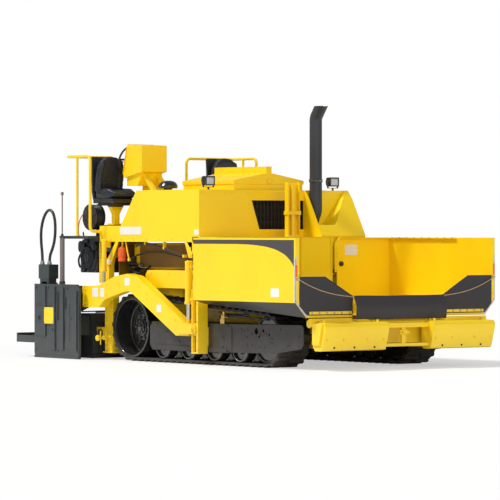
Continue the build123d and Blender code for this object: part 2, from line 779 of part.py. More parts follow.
def wing():
    """The left hopper wing: floor, outer wall, rear wall, flanges and hinge barrels."""
    t = wing_sheet
    tub = loft(
        [wing_section(wing_rear, wing_floor_rear, wing_side_rear),
         wing_section(wing_front, wing_floor_front, wing_side_front)],
        ruled=True,
    )
    rear_wall = cross_plate(
        [(hinge_y, wing_floor_rear + 2), (wing_knee_y, wing_floor_rear + 2), (wing_outer, wing_side_rear + 2),
         (wing_outer, wing_top), (770, wing_top), (690, 1600), (690, 1300), (hinge_y, 1200)],
        (wing_rear, wing_rear + t),
    )
    edge_flange = block((wing_rear + t - 2, wing_rear + t + 14), (690, 750), (1210, 1560))
    front_flange = cross_plate(
        [(hinge_y, wing_floor_front + 2), (wing_knee_y, wing_floor_front + 2), (wing_outer, wing_side_front + 2),
         (wing_outer, wing_top), (wing_outer - 60, wing_top), (wing_outer - 60, wing_side_front + 25),
         (wing_knee_y - 25, wing_floor_front + 65), (hinge_y, wing_floor_front + 65)],
        (wing_front - t, wing_front),
    )
    side_lip = block((wing_rear, 3380), (wing_outer - 50, wing_outer), (wing_top - 14, wing_top))
    rear_lip = block((wing_rear, wing_rear + 60), (780, wing_outer), (wing_top - 14, wing_top))
    barrels = []
    for start, end in zip(lug_columns[:-1], lug_columns[1:]):
        span = (start + lug_width / 2 + slide_gap, end - lug_width / 2 - slide_gap)
        barrels.append(rod((span[0], hinge_y, hinge_z), (span[1], hinge_y, hinge_z), hinge_barrel))
        low = [(span[0], hinge_z), (span[1], hinge_z), (span[1], wing_floor(span[1]) + 4), (span[0], wing_floor(span[0]) + 4)]
        barrels.append(side_plate(low, (hinge_y - 6, hinge_y + 6)))
    bore = rod((wing_rear, hinge_y, hinge_z), (wing_front, hinge_y, hinge_z), hinge_pin + seat_gap)
    hook = rod((wing_front - 2, 1620, 1160), (wing_front + 34, 1620, 1160), 9)
    return fused([tub, rear_wall, edge_flange, front_flange, side_lip, rear_lip, hook] + barrels) - bore


def wing_flap():
    """The left wing's rubber front flap, with the peg for its rope."""
    outline = [
        (hinge_y, 700), (wing_knee_y - 10, 700), (1590, 820), (1590, 1190), (1180, 1190), (hinge_y, 940),
    ]
    sheet = cross_plate(outline, (wing_front, wing_front + flap_sheet))
    peg = rod((wing_front + flap_sheet - 1, 765, 930), (wing_front + 30, 765, 930), 8)
    return sheet + peg


def centre_flap():
    """The bulging rubber flap before the conveyor, on its carrier brackets."""
    front = [(4198, 945), (4198, 897), (4234, 858), (4256, 780), (4242, 640)]
    back = [(4230, 640), (4244, 780), (4222, 850), (4186, 890), (4186, 945)]
    return side_plate(front + back, (-750, 750))


def flap_carrier():
    """The apron and brackets that hold the centre flap."""
    apron = block((frame_front - 12, frame_front), (-600, 600), (sill_top - 60, 930))
    arms = [block((frame_front - 2, 4186 - seat_gap), (y - 15, y + 15), (890, 930)) for y in (-420, 0, 420)]
    lip = block((frame_front - 12, frame_front), (-600, 600), (tunnel_floor + plate, 600))
    return fused([apron, lip] + arms)


def push_bumper():
    """The push beams for the trucks' tyres, their brackets and cross tube."""
    profile = [
        (4190, 300), (4190, 600), (4390, 612), (4430, 600), (front_end, 560), (front_end - 4, 520),
        (4372, 262), (4340, 250), (4230, 250),
    ]
    beams = both(side_plate(profile, (370, 1400)))
    gussets = both(side_plate(
        [(4200, 330), (4200, 600), (4400, 600), (4340, 330)], (1396, 1424)))
    bars = [
        block((4250, 4330), (-375, 375), (530, 590)),
        block((4250, 4330), (-375, 375), (290, 330)),
        block((4270, 4320), (-60, 0), (325, 535)),
    ]
    arms = both(block((frame_front, 4200), (600, 790), (340, 560)))
    tube = rod((4145, -1420, 595), (4145, 1420, 595), 45)
    return fused(beams + gussets + bars + arms + [tube])


# ---- Tow points, arms and lift ----------------------------------------------
def tow_guide():
    """The left tow point's upright guide: a back plate and two rails."""
    near = guard_inner + guard_thickness
    back = block((1695, 1845), (near + 14, near + 26), (170, 1000))
    rails = [
        block((1695, 1720), (near + 20, link_inner - slide_gap), (170, 1000)),
        block((1695, 1720), (link_outer + slide_gap, arm_outer), (170, 1000)),
        block((1800, 1845), (near + 20, arm_outer), (170, 1000)),
    ]
    foot = block((1695, 1845), (near + 14, arm_outer), (150, 172))
    head = block((1695, 1845), (belt_outer, near + 22), (1000 - 60, 1000))
    seat = block((1695, 1845), (near, near + 20), (250, 500))
    return fused([back, foot, head, seat] + rails)


def tow_barrel():
    """The left tow point cylinder's barrel on its bracket."""
    tube = rod((tow_rod_x, tow_rod_y, 800), (tow_rod_x, tow_rod_y, 1350), 50)
    tube = tube + rod((tow_rod_x, tow_rod_y, 800), (tow_rod_x, tow_rod_y, 840), 54)
    tube = tube - rod((tow_rod_x, tow_rod_y, 790), (tow_rod_x, tow_rod_y, 1335), tow_rod_radius + seat_gap)
    bracket = block((1490, 1570), (belt_outer, tow_rod_y - 40), (1120, 1200))
    return tube + bracket


def tow_carriage():
    """The left carriage in its guide, with its pin and the cylinder's rod."""
    near = guard_inner + guard_thickness + 26 + slide_gap
    carriage = block((1725, 1795), (near, arm_outer - 2), (390, 550))
    pin = rod((pin_x, arm_outer - 4, pin_z), (pin_x, arm_outer + 36, pin_z), pin_radius)
    link = block((1500, 1730), (link_inner, link_outer), (500, 550))
    eye = block((1500, 1560), (link_inner, link_outer), (500, 600))
    rod_bar = rod((tow_rod_x, tow_rod_y, 598), (tow_rod_x, tow_rod_y, 1150), tow_rod_radius)
    return fused([carriage, pin, link, eye, rod_bar])


def tow_arm():
    """The left tow arm: a box beam bent over the track, and its ear at the tow pin."""
    outline = [
        (-870, 1010), (-500, 1020), (-100, 1150), (200, 1190), (420, 1160), (1530, 560), (1660, 500),
        (1620, 380), (1340, 380), (270, 950), (150, 950), (-350, 830), (-450, 720), (-870, 720),
    ]
    beam = side_plate(outline, (arm_inner, arm_outer))
    ear = side_plate([(1400, 420), (1400, 560), (1500, 560), (pin_x, 530), (pin_x, 410), (1500, 400)],
                     (arm_outer + slide_gap, arm_outer + slide_gap + 20))
    ear = ear + rod((pin_x, arm_outer + slide_gap, pin_z), (pin_x, arm_outer + slide_gap + 20, pin_z), 60)
    pad = block((1430, 1600), (arm_outer - 2, arm_outer + slide_gap), (430, 530))
    hole = rod((pin_x, arm_outer, pin_z), (pin_x, arm_outer + 60, pin_z), pin_radius + seat_gap)
    slot = block((1470, 1700), (link_inner - 8, link_outer + 8), (440, 700))
    return [(beam + pad) - slot, ear - hole]


def lift_barrel():
    """The left screed lift cylinder's barrel on the platform's side."""
    tube = rod((lift_x, lift_y, 1215), (lift_x, lift_y, 1640), 35)
    tube = tube - rod((lift_x, lift_y, 1205), (lift_x, lift_y, 1625), lift_rod_radius + seat_gap)
    bracket = block((lift_x - 40, lift_x + 40), (body_half, lift_y - 28), (1540, 1640))
    return tube + bracket


def lift_rod():
    """The left screed lift cylinder's rod and eye, beside the tow arm."""
    bar = rod((lift_x, lift_y, 880), (lift_x, lift_y, 1310), lift_rod_radius)
    eye = rod((lift_x, lift_y - 22, 860), (lift_x, lift_y + 22, 860), 45)
    pin = rod((lift_x, lift_y - 30, 860), (lift_x, arm_inner - slide_gap, 860), 18)
    return fused([bar, eye, pin])


# ---- Screed -----------------------------------------------------------------
def screed_main():
    """The main screed: its box, sole plate, end beams and slide rails."""
    low = screed_clear
    hull = side_plate(
        [(screed_rear, low + sole), (screed_rear, 560), (screed_rear + 60, screed_top),
         (screed_front - 60, screed_top), (screed_front, 500), (screed_front, 80), (screed_front - 20, low + sole)],
        (-screed_half, screed_half),
    )
    sole_plate = side_plate(
        [(screed_rear - 10, low), (screed_rear - 10, low + sole + 1), (screed_front - 10, low + sole + 1),
         (screed_front + 20, low + 60), (screed_front + 30, low + 50), (screed_front, low)],
        (-screed_half, screed_half),
    )
    rails = []
    for z in (150, 430):
        rails.append(block((extension_front + seat_gap, screed_rear + 2), (-screed_half, screed_half), (z, z + 60)))
    ends = []
    for side in (1, -1):
        beam_y = sorted((side * arm_inner, side * arm_outer))
        beam = [(-870, 720), (-870, 1010), (-1450, 1010), (-1500, 940), (-1500, 420), (-1380, 300), (-1180, 300), (-1120, 640)]
        ends.append(side_plate(beam, beam_y))
        neck = sorted((side * (screed_half - 2), side * (arm_inner + 2)))
        ends.append(block((-1440, -1140), neck, (320, 590)))
        shoe = sorted((side * (arm_outer - 2), side * 1555))
        ends.append(block((-1410, -1310), shoe, (880, 1010)))
    return fused([hull, sole_plate] + rails + ends)


def depth_screw():
    """The left depth screw: a tube, its spindle and the crank's knob."""
    x = -1360
    y = 1520
    tube = rod((x, y, 1010), (x, y, 1690), 34)
    spindle = rod((x, y, 1688), (x, y, 2270), 9)
    knob = rod((x, y, 2265), (x, y, 2310), 20)
    return fused([tube, spindle, knob])


def extension():
    """The left screed extension: its box, sole plate, tower and catwalk."""
    low = screed_clear
    inner = 40
    hull = side_plate(
        [(extension_rear, low + sole), (extension_rear, 480), (extension_rear + 50, 560),
         (extension_front, 560), (extension_front, low + sole)],
        (inner, gate_inner - 30),
    )
    sole_plate = block((extension_rear, extension_front), (inner, gate_inner - 30), (low, low + sole + 1))
    end_plate = block((extension_rear, extension_front), (gate_inner - 32, gate_inner - seat_gap), (40, 760))
    tower = block((-1880, -1660), (1420, gate_inner - 30), (555, 1110))
    tower = tower - block((-1840, -1700), (1400, 1600), (640, 1060))
    cap = block((-1900, -1640), (1400, gate_inner - 20), (1100, 1300))
    walk = block((catwalk_rear, gate_rear), (60, 1540), (200, 224))
    nose = block((catwalk_rear, catwalk_rear + 30), (60, 1540), (200, 330))
    stays = [block((gate_rear - 20, extension_rear + 2), (y - 25, y + 25), (150, 330)) for y in (300, 1300)]
    bars = [block((catwalk_rear + 20, gate_rear), (y - 10, y + 10), (205, 300)) for y in (70, 300, 1300, 1530)]
    return fused([hull, sole_plate, end_plate, tower, cap, walk, nose] + stays + bars)


def end_gate():
    """The left end gate: a plate with upright channels and a ski."""
    gate = side_plate(
        [(gate_rear, 60), (gate_rear, gate_top), (gate_front - 60, gate_top), (gate_front, gate_top - 60),
         (gate_front, 60), (gate_front - 40, 20), (gate_rear + 30, 20)],
        (gate_inner, gate_outer),
    )
    channels = []
    for x, width, low, high in ((-1700, 70, 300, 1000), (-1460, 60, 120, 980), (-1240, 60, 120, 980), (-900, 50, 120, 940)):
        channels.append(block((x, x + width), (gate_outer - 2, gate_outer + 18), (low, high)))
    ski = block((gate_rear + 10, gate_front - 20), (gate_inner - 10, gate_outer + 10), (screed_clear, 32))
    return fused([gate, ski] + channels)


def hose_route(points, radius):
    """A hose's tube along runs joined by the largest even arcs."""
    corners = [Vector(*point) for point in points]
    bends = []
    for before, here, after in zip(corners, corners[1:], corners[2:]):
        run = min((here - before).length, (after - here).length)
        turn = (here - before).get_angle(after - here)
        bends.append(0.45 * run / (sin(radians(turn / 2)) / cos(radians(turn / 2))))
    path = FilletPolyline(*points, radius=bends)
    return sweep(Plane(origin=path @ 0, z_dir=path % 0) * Circle(radius), path=path)


def screed_hose():
    """The left screed hose: a tall loop from the tower's cap back down to it."""
    y = 1515
    points = [
        (-1870, y, 1300), (-1870, y, 1430), (-1900, y, 1580), (-1910, y, 1750), (-1870, y, 1900),
        (-1790, y, 2020), (-1690, y, 2070), (-1600, y, 2030), (-1550, y, 1920), (-1540, y, 1770),
        (-1565, y, 1620), (-1620, y, 1510), (-1690, y, 1410), (-1690, y, 1300),
    ]
    return hose_route(points, 20)


def flap_rope():
    """The left flap's rope, sagging from the wing's hook to the flap's peg."""
    x = wing_front + 18
    points = [
        (x, 1610.7, 1158), (x, 1545, 1125), (x, 1480, 1094), (x, 1410, 1066), (x, 1340, 1040), (x, 1265, 1016),
        (x, 1190, 995), (x, 1110, 977), (x, 1030, 962), (x, 950, 951), (x, 865, 941), (x, 773.3, 933),
    ]
    return hose_route(points, 6)


# ---- Write every node -------------------------------------------------------
os.makedirs("parts", exist_ok=True)

belt = track_belt()
rollers = []
for roller_x in roller_columns:
    rollers += both(twin_wheel(roller_x, roller_z, roller_radius - seat_gap, 30))
seat_frames, seat_pads = seats()
left_wing = wing()
left_flap = wing_flap()
left_rope = flap_rope()
left_auger = auger()
left_extension = extension()
left_gate = end_gate()
left_hose = screed_hose()

write("track_belt_left", [belt])
write("track_belt_right", [flipped(belt)])
write("drive_wheels", both(drive_wheel()))
write("idlers", both(twin_wheel(wheelbase, idler_z, idler_radius - seat_gap, 45)))
write("road_rollers", rollers)
write("track_frames", both(track_frame()))
write("final_drives", both(final_drive()))
write("track_guards", both(track_guard()))
write("fenders", both(fender()))
write("main_frame", [main_frame()])
write("conveyor", [conveyor()])
write("rear_frame", [rear_frame()])
write("auger_case", [auger_case()])
write("auger_left", [left_auger])
write("auger_right", [flipped(left_auger)])
write("hood", [hood()])
write("grille", [grille()])
write("nose_cover", [nose_cover()])
write("exhaust", [exhaust()])
write("engine_lid", [engine_lid()])
write("engine_block", [engine_block()])
write("front_tank", [bulkhead()])
write("hopper_back", [hopper_back()])
write("gate_post", [post()])
write("side_tanks", side_tanks())
write("platform", [platform()])
write("floor_mat", [floor_mat()])
write("rear_shelf", [rear_shelf()])
write("generator", [generator()])
write("handrails", handrails())
write("seat_frames", seat_frames)
write("seat_pads", seat_pads)
write("console", [console()])
write("steering_wheel", [steering_wheel()])
write("hose_reel", [hose_reel()])
write("intake_cap", [intake()])
write("work_lamps", lamps())
write("hopper_wing_left", [left_wing])
write("hopper_wing_right", [flipped(left_wing)])
write("wing_flap_left", [left_flap])
write("wing_flap_right", [flipped(left_flap)])
write("flap_rope_left", [left_rope])
write("flap_rope_right", [flipped(left_rope)])
write("centre_flap", [centre_flap()])
write("flap_carrier", [flap_carrier()])
write("push_bumper", [push_bumper()])
write("tow_guides", both(tow_guide()))
write("cylinder_barrels", both(tow_barrel()) + both(lift_barrel()))
write("tow_carriages", both(tow_carriage()))
left_arm, left_ear = tow_arm()
write("tow_arms", both(left_arm) + both(left_ear))
write("lift_rods", both(lift_rod()))
write("screed_main", [screed_main()])
write("depth_screws", both(depth_screw()))
write("screed_extension_left", [left_extension])
write("screed_extension_right", [flipped(left_extension)])
write("end_gate_left", [left_gate])
write("end_gate_right", [flipped(left_gate)])
write("screed_hose_left", [left_hose])
write("screed_hose_right", [flipped(left_hose)])
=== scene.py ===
"""Paint, rubber, upholstery, hoses and fittings for a tracked asphalt paver.

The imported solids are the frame. Sizes are millimetres from the drive wheels' axle,
with +X to the hopper, +Y to the left and Z = 0 on the ground, unless a name says metres.
"""
import bmesh
import bpy
from math import cos, pi, radians, sin
from mathutils import Matrix, Vector


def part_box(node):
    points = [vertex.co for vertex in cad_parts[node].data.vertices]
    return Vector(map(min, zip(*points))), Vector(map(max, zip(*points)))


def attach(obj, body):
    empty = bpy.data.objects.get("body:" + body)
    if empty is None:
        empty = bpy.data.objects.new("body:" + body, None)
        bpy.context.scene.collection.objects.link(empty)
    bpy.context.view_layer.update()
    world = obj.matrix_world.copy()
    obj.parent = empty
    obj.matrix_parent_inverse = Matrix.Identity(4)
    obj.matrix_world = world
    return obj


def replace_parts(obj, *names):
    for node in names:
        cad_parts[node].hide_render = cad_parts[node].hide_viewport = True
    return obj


bl_info = {
    "name": "Asphalt paver dressing",
    "version": (1, 0, 0),
    "blender": (4, 5, 0),
    "location": "View3D > Sidebar > Paver",
    "description": "Paint, rubber, seats, hoses and fittings for a tracked paver",
    "category": "Object",
}

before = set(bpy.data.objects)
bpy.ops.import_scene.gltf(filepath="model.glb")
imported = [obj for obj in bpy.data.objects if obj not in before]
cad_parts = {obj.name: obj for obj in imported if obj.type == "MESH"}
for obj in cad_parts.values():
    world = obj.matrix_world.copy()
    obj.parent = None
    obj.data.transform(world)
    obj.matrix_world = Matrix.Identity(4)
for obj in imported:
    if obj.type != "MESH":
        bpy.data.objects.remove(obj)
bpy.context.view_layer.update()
WHEEL_LOW, WHEEL_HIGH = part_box("drive_wheels")
AXLE_X = (WHEEL_LOW.x + WHEEL_HIGH.x) / 2
AXLE_Z = 455
SIDE_FACE, ARM_FACE, GATE_FACE = 1250, 1500, 1609
UP, FORE, OUT, NEAR = (0, 0, 1), (1, 0, 0), (0, 1, 0), (0, -1, 0)
SIDED_BODIES = ("hopper", "extension_body")
FINISHES = {}


# ---- Settings ---------------------------------------------------------------
COLOUR = {"subtype": "COLOR", "size": 3, "min": 0, "max": 1}
FACTOR = {"subtype": "FACTOR", "min": 0, "max": 1}
LENGTH = {"subtype": "DISTANCE", "unit": "LENGTH"}
ANGLE = {"subtype": "ANGLE", "unit": "ROTATION"}


class PaverPaint(bpy.types.PropertyGroup):
    """Colours of the machine's finishes."""

    yellow: bpy.props.FloatVectorProperty(name="Machine yellow", description="Main paint",
        default=(1.0, 0.69, 0.0), **COLOUR)
    deep_yellow: bpy.props.FloatVectorProperty(name="Deep yellow",
        description="Paint where it is thick or aged", default=(0.98, 0.60, 0.0), **COLOUR)
    charcoal: bpy.props.FloatVectorProperty(name="Screed grey", description="Paint of the screed",
        default=(0.026, 0.037, 0.042), **COLOUR)
    guard: bpy.props.FloatVectorProperty(name="Guard grey", description="Paint of the track guards",
        default=(0.021, 0.020, 0.021), **COLOUR)
    rubber: bpy.props.FloatVectorProperty(name="Rubber", description="Hopper flaps",
        default=(0.032, 0.027, 0.031), **COLOUR)
    vinyl: bpy.props.FloatVectorProperty(name="Seat vinyl", description="Seat covers",
        default=(0.012, 0.015, 0.024), **COLOUR)
    stripe: bpy.props.FloatVectorProperty(name="Stripe", description="Dark band along each wing",
        default=(0.055, 0.048, 0.052), **COLOUR)


class PaverFinish(bpy.types.PropertyGroup):
    """Amounts of gloss, dust and wear."""

    gloss: bpy.props.FloatProperty(name="Paint gloss", description="Clear coat on the yellow paint",
        default=0.12, **FACTOR)
    dust: bpy.props.FloatProperty(name="Dust", description="Dust low on the machine", default=0.3,
        **FACTOR)
    wear: bpy.props.FloatProperty(name="Edge wear", description="Thin paint along the edges",
        default=0.35, **FACTOR)
    edge: bpy.props.FloatProperty(name="Edge radius",
        description="Rounding that the light finds on a folded edge", default=0.004, min=0, max=0.02,
        **LENGTH)


class PaverFittings(bpy.types.PropertyGroup):
    """Sizes of the small fittings."""

    bolt: bpy.props.FloatProperty(name="Bolt head", description="Radius of a common bolt's head",
        default=0.012, min=0.004, max=0.03, **LENGTH)
    hose: bpy.props.FloatProperty(name="Hose", description="Diameter of the screed hoses", default=0.04,
        min=0.01, max=0.08, **LENGTH)
    rope: bpy.props.FloatProperty(name="Rope", description="Diameter of the flap ropes", default=0.012,
        min=0.004, max=0.03, **LENGTH)
    swell: bpy.props.FloatProperty(name="Cushion swell", description="Pressure in the seat cushions",
        default=4, min=0, max=10)


class PaverStage(bpy.types.PropertyGroup):
    """Camera and light."""

    lens: bpy.props.FloatProperty(name="Lens", description="Focal length on a 36 mm sensor",
        default=244.8, min=10, max=500, subtype="DISTANCE_CAMERA", unit="CAMERA")
    azimuth: bpy.props.FloatProperty(name="Heading", description="Turn of the view about the vertical",
        default=radians(53.397), **ANGLE)
    pitch: bpy.props.FloatProperty(name="Pitch", description="How far the view looks down",
        default=radians(0.3132), **ANGLE)
    key: bpy.props.FloatProperty(name="Key light", description="Strength of the sun", default=2.8,
        min=0, max=10)
    fill: bpy.props.FloatProperty(name="Sky light", description="Strength of the sky", default=0.36,
        min=0, max=3)
    side: bpy.props.FloatProperty(name="Side light", description="Strength of the second sun",
        default=0.9, min=0, max=5)


# ---- Modelling helpers ------------------------------------------------------
class Hand:
    """The side being built: Y is measured outwards on it, and its word ends the names."""

    sign, word = 1, ""


def both_sides(build):
    """Build on the left, then on the right."""
    for Hand.sign, Hand.word in ((1, "_left"), (-1, "_right")):
        build()
    Hand.sign, Hand.word = 1, ""


def spot(x, y, z):
    """A point in metres from millimetres about the axle."""
    return Vector((x / 1000 + AXLE_X, Hand.sign * y / 1000, z / 1000))


def aim(way):
    """A direction on the side being built."""
    return Vector((way[0], Hand.sign * way[1], way[2]))


def clear():
    """Leave edit mode and select nothing."""
    if bpy.context.object and bpy.context.object.mode != "OBJECT":
        bpy.ops.object.mode_set(mode="OBJECT")
    bpy.ops.object.select_all(action="DESELECT")


def named(name="part"):
    """The new primitive, under its name."""
    piece = bpy.context.object
    piece.name = name
    piece.data.name = name
    return piece


def only(piece):
    """Select one piece and make it active."""
    clear()
    piece.select_set(True)
    bpy.context.view_layer.objects.active = piece


def edit(piece, mode="VERT"):
    """Open one piece for editing, with everything selected."""
    only(piece)
    bpy.ops.object.mode_set(mode="EDIT")
    bpy.ops.mesh.select_mode(type=mode)
    bpy.ops.mesh.select_all(action="SELECT")


def settle(piece):
    """Put a piece's place, turn and size into its mesh."""
    only(piece)
    bpy.ops.object.transform_apply(location=True, rotation=True, scale=True)
    return piece


def modify(piece, kind, **values):
    """Add a modifier with its settings and apply it."""
    modifier = piece.modifiers.new(kind.lower(), kind)
    for key, value in values.items():
        setattr(modifier, key, value)
    only(piece)
    bpy.ops.object.modifier_apply(modifier=modifier.name)
    return piece


def soften(piece, width, segments=2, angle=30):
    """Round the edges that turn by more than an angle."""
    return modify(piece, "BEVEL", width=width / 1000, segments=segments, limit_method="ANGLE",
        angle_limit=radians(angle), use_clamp_overlap=True)


def smooth(piece, angle=35):
    """Smooth the shading up to an angle."""
    only(piece)
    bpy.ops.object.shade_smooth_by_angle(angle=radians(angle))
    return piece


def outward(piece):
    """Merge doubles and turn every face outwards."""
    edit(piece)
    bpy.ops.mesh.remove_doubles(threshold=0.00005)
    bpy.ops.mesh.normals_make_consistent(inside=False)
    bpy.ops.object.mode_set(mode="OBJECT")
    return piece


def select_faces(piece, test):
    """In edit mode, select the faces whose centre and normal pass a test."""
    edit(piece, "FACE")
    bpy.ops.mesh.select_all(action="DESELECT")
    shell = bmesh.from_edit_mesh(piece.data)
    for face in shell.faces:
        face.select_set(test(face.calc_center_median(), face.normal))
    bmesh.update_edit_mesh(piece.data)


def join(name, pieces):
    """One piece from several."""
    clear()
    for piece in pieces:
        piece.select_set(True)
    bpy.context.view_layer.objects.active = pieces[0]
    bpy.ops.object.join()
    return named(name)


def dress(piece, body, finish):
    """Give a piece its finish and the body that it rides on."""
    piece.data.materials.clear()
    piece.data.materials.append(FINISHES[finish])
    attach(piece, body + Hand.word if body in SIDED_BODIES else body)
    return piece


def fit_on(body, finish, name, *shapes):
    """One dressed piece from several shapes, riding a body."""
    return dress(join(name + Hand.word, shapes), body, finish)


def fit(finish, name, *shapes):
    """One dressed piece from several shapes, riding the chassis."""
    return fit_on("chassis", finish, name, *shapes)


def around(count, radius, x, z, turn=0.0):
    """Evenly spaced places on a circle, as pairs of its two coordinates."""
    angles = [2 * pi * (index + turn) / count for index in range(count)]
    return [(x + radius * cos(angle), z + radius * sin(angle)) for angle in angles]


def cube(low, high):
    """A plain box between two corners."""
    bpy.ops.mesh.primitive_cube_add(size=1, location=(low + high) / 2, scale=high - low)
    return settle(named())


def block(x, y, z, edge=3, segments=2):
    """A box between limits, with rounded edges."""
    clear()
    ends = spot(min(x), min(y), min(z)), spot(max(x), max(y), max(z))
    piece = cube(Vector([min(pair) for pair in zip(*ends)]), Vector([max(pair) for pair in zip(*ends)]))
    return soften(piece, edge, segments) if edge else piece


def bar(start, end, radius, sides=24, edge=1.5):
    """A round bar between two points, with chamfered ends."""
    clear()
    start, end = spot(*start), spot(*end)
    way = end - start
    bpy.ops.mesh.primitive_cylinder_add(vertices=sides, radius=radius / 1000, depth=way.length,
        location=(start + end) / 2, rotation=way.to_track_quat("Z", "Y").to_euler())
    piece = settle(named())
    if edge:
        soften(piece, edge, 1, 50)
    return smooth(piece, 40)


def turned(profile, foot, axis, sides=32):
    """A turned piece: a circle extruded ring by ring along its axis, (height, radius)."""
    clear()
    way = aim(axis).normalized()
    base = spot(*foot)
    height, radius = profile[0]
    bpy.ops.mesh.primitive_circle_add(vertices=sides, radius=radius / 1000, fill_type="NGON",
        location=base + way * height / 1000, rotation=way.to_track_quat("Z", "Y").to_euler())
    piece = settle(named())
    edit(piece, "FACE")
    for before, after in zip(profile, profile[1:]):
        step = way * (after[0] - before[0]) / 1000
        bpy.ops.mesh.extrude_region_move(TRANSFORM_OT_translate={"value": step})
        ratio = max(after[1], 0.01) / max(before[1], 0.01)
        bpy.ops.transform.resize(value=(ratio, ratio, ratio), center_override=base
            + way * after[0] / 1000)
    bpy.ops.object.mode_set(mode="OBJECT")
    return smooth(outward(piece), 35)


def plate(outline, axis, span, edge=1, segments=1):
    """A flat outline extruded along an axis between two limits."""
    clear()
    bpy.ops.mesh.primitive_circle_add(vertices=len(outline), radius=0.1, fill_type="NGON")
    piece = named()
    for vertex, place in zip(piece.data.vertices, outline):
        place = list(place)
        place.insert("xyz".index(axis), span[0])
        vertex.co = spot(*place)
    way = aim((axis == "x", axis == "y", axis == "z")) * (span[1] - span[0]) / 1000
    edit(piece)
    bpy.ops.mesh.extrude_region_move(TRANSFORM_OT_translate={"value": way})
    bpy.ops.object.mode_set(mode="OBJECT")
    outward(piece)
    if edge:
        soften(piece, edge, segments)
    return smooth(piece, 30)


def run(name, points, radius, order=3, sides=4):
    """A NURBS line through control points, as a bevelled curve."""
    clear()
    line = bpy.data.curves.new(name, "CURVE")
    line.dimensions = "3D"
    line.bevel_depth = radius / 1000
    line.bevel_resolution = sides
    line.resolution_u = 12
    line.use_fill_caps = True
    spline = line.splines.new("NURBS")
    spline.points.add(len(points) - 1)
    for point, place in zip(spline.points, points):
        point.co = (*spot(*place), 1)
    spline.order_u = order
    spline.use_endpoint_u = True
    piece = bpy.data.objects.new(name, line)
    bpy.context.scene.collection.objects.link(piece)
    return piece


def tube(points, radius, sides=4):
    """A rigid pipe or bent rod, as a mesh."""
    only(run("part", points, radius, 3, sides))
    bpy.ops.object.convert(target="MESH")
    return smooth(outward(named()), 40)


def hoop(middle, axis, major, minor, around=48, sides=10):
    """A ring of round section about an axis."""
    clear()
    bpy.ops.mesh.primitive_torus_add(major_segments=around, minor_segments=sides,
        location=spot(*middle), rotation=aim(axis).to_track_quat("Z", "Y").to_euler(),
        major_radius=major / 1000, minor_radius=minor / 1000)
    return smooth(settle(named()), 180)


def moved(piece, matrix, name="part"):
    """A copy with its own mesh, moved by a matrix."""
    copy = piece.copy()
    copy.data = piece.data.copy()
    copy.name = name
    copy.data.name = name
    bpy.context.scene.collection.objects.link(copy)
    copy.data.transform(matrix)
    return copy


def bolts(places, way, radius=None, washer=True):
    """Hexagon bolt heads on washers at several places, pointing one way."""
    size = (radius or bpy.context.scene.paver_fittings.bolt * 1000) / 1000
    clear()
    bpy.ops.mesh.primitive_cylinder_add(vertices=6, radius=size, depth=size * 0.8,
        location=(0, 0, size * 0.55))
    head = settle(named())
    select_faces(head, lambda centre, normal: normal.z > 0.9)
    bpy.ops.mesh.inset(thickness=size * 0.14)
    bpy.ops.transform.translate(value=(0, 0, size * 0.1))
    bpy.ops.object.mode_set(mode="OBJECT")
    if washer:
        clear()
        bpy.ops.mesh.primitive_cylinder_add(vertices=14, radius=size * 1.45, depth=size * 0.2,
            location=(0, 0, size * 0.1))
        head = join("head", [head, settle(named())])
    quat = aim(way).to_track_quat("Z", "Y").to_matrix().to_4x4()
    copies = [
        moved(head, Matrix.Translation(spot(*place)) @ quat @ Matrix.Rotation(index * 0.7, 4, "Z"))
        for index, place in enumerate(places)]
    bpy.data.objects.remove(head)
    return smooth(join("part", copies), 25)


def row(start, end, count):
    """Evenly spaced places from start to end."""
    start = Vector(start)
    step = (Vector(end) - start) / max(count - 1, 1)
    return [tuple(start + step * index) for index in range(count)]


# ---- Finishes ---------------------------------------------------------------
def group(name, inputs, outputs):
    """An empty shader node group with named inputs and outputs."""
    tree = bpy.data.node_groups.new(name, "ShaderNodeTree")
    for socket, value in inputs.items():
        kind = "NodeSocketColor" if isinstance(value, tuple) else "NodeSocketFloat"
        tree.interface.new_socket(socket, in_out="INPUT", socket_type=kind).default_value = value
    for socket, kind in outputs:
        tree.interface.new_socket(socket, in_out="OUTPUT", socket_type=kind)
    given, out = tree.nodes.new("NodeGroupInput"), tree.nodes.new("NodeGroupOutput")
    return tree, given.outputs, out.inputs


def link(tree, start, end):
    """Join two sockets."""
    tree.links.new(start, end)


def feed(tree, value, target):
    """Give an input a link or a plain value."""
    if isinstance(value, bpy.types.NodeSocket):
        link(tree, value, target)
    else:
        target.default_value = value


def put(tree, kind, **values):
    """A new shader node with links or values on its named inputs."""
    node = tree.nodes.new("ShaderNode" + kind)
    for socket, value in values.items():
        feed(tree, value, node.inputs[socket.replace("_", " ")])
    return node


def maths(tree, operation, *values, clamp=False):
    """A Math node with links or numbers on its inputs."""
    node = put(tree, "Math")
    node.operation = operation
    node.use_clamp = clamp
    for index, value in enumerate(values):
        feed(tree, value, node.inputs[index])
    return node.outputs[0]


def times(tree, *values, clamp=False):
    """The product of two links or numbers."""
    return maths(tree, "MULTIPLY", *values, clamp=clamp)


def object_axes(tree):
    """X, Y and Z of the object's own coordinates."""
    split = put(tree, "SeparateXYZ", Vector=put(tree, "TexCoord").outputs["Object"])
    return [split.outputs[axis] for axis in "XYZ"]


def noise(tree, scale, detail=2, roughness=0.5):
    """Noise on object coordinates, with its scale as a number or a socket."""
    place = put(tree, "TexCoord").outputs["Object"]
    cloud = put(tree, "TexNoise", Vector=place, Scale=scale, Detail=detail, Roughness=roughness)
    return cloud.outputs["Fac"]


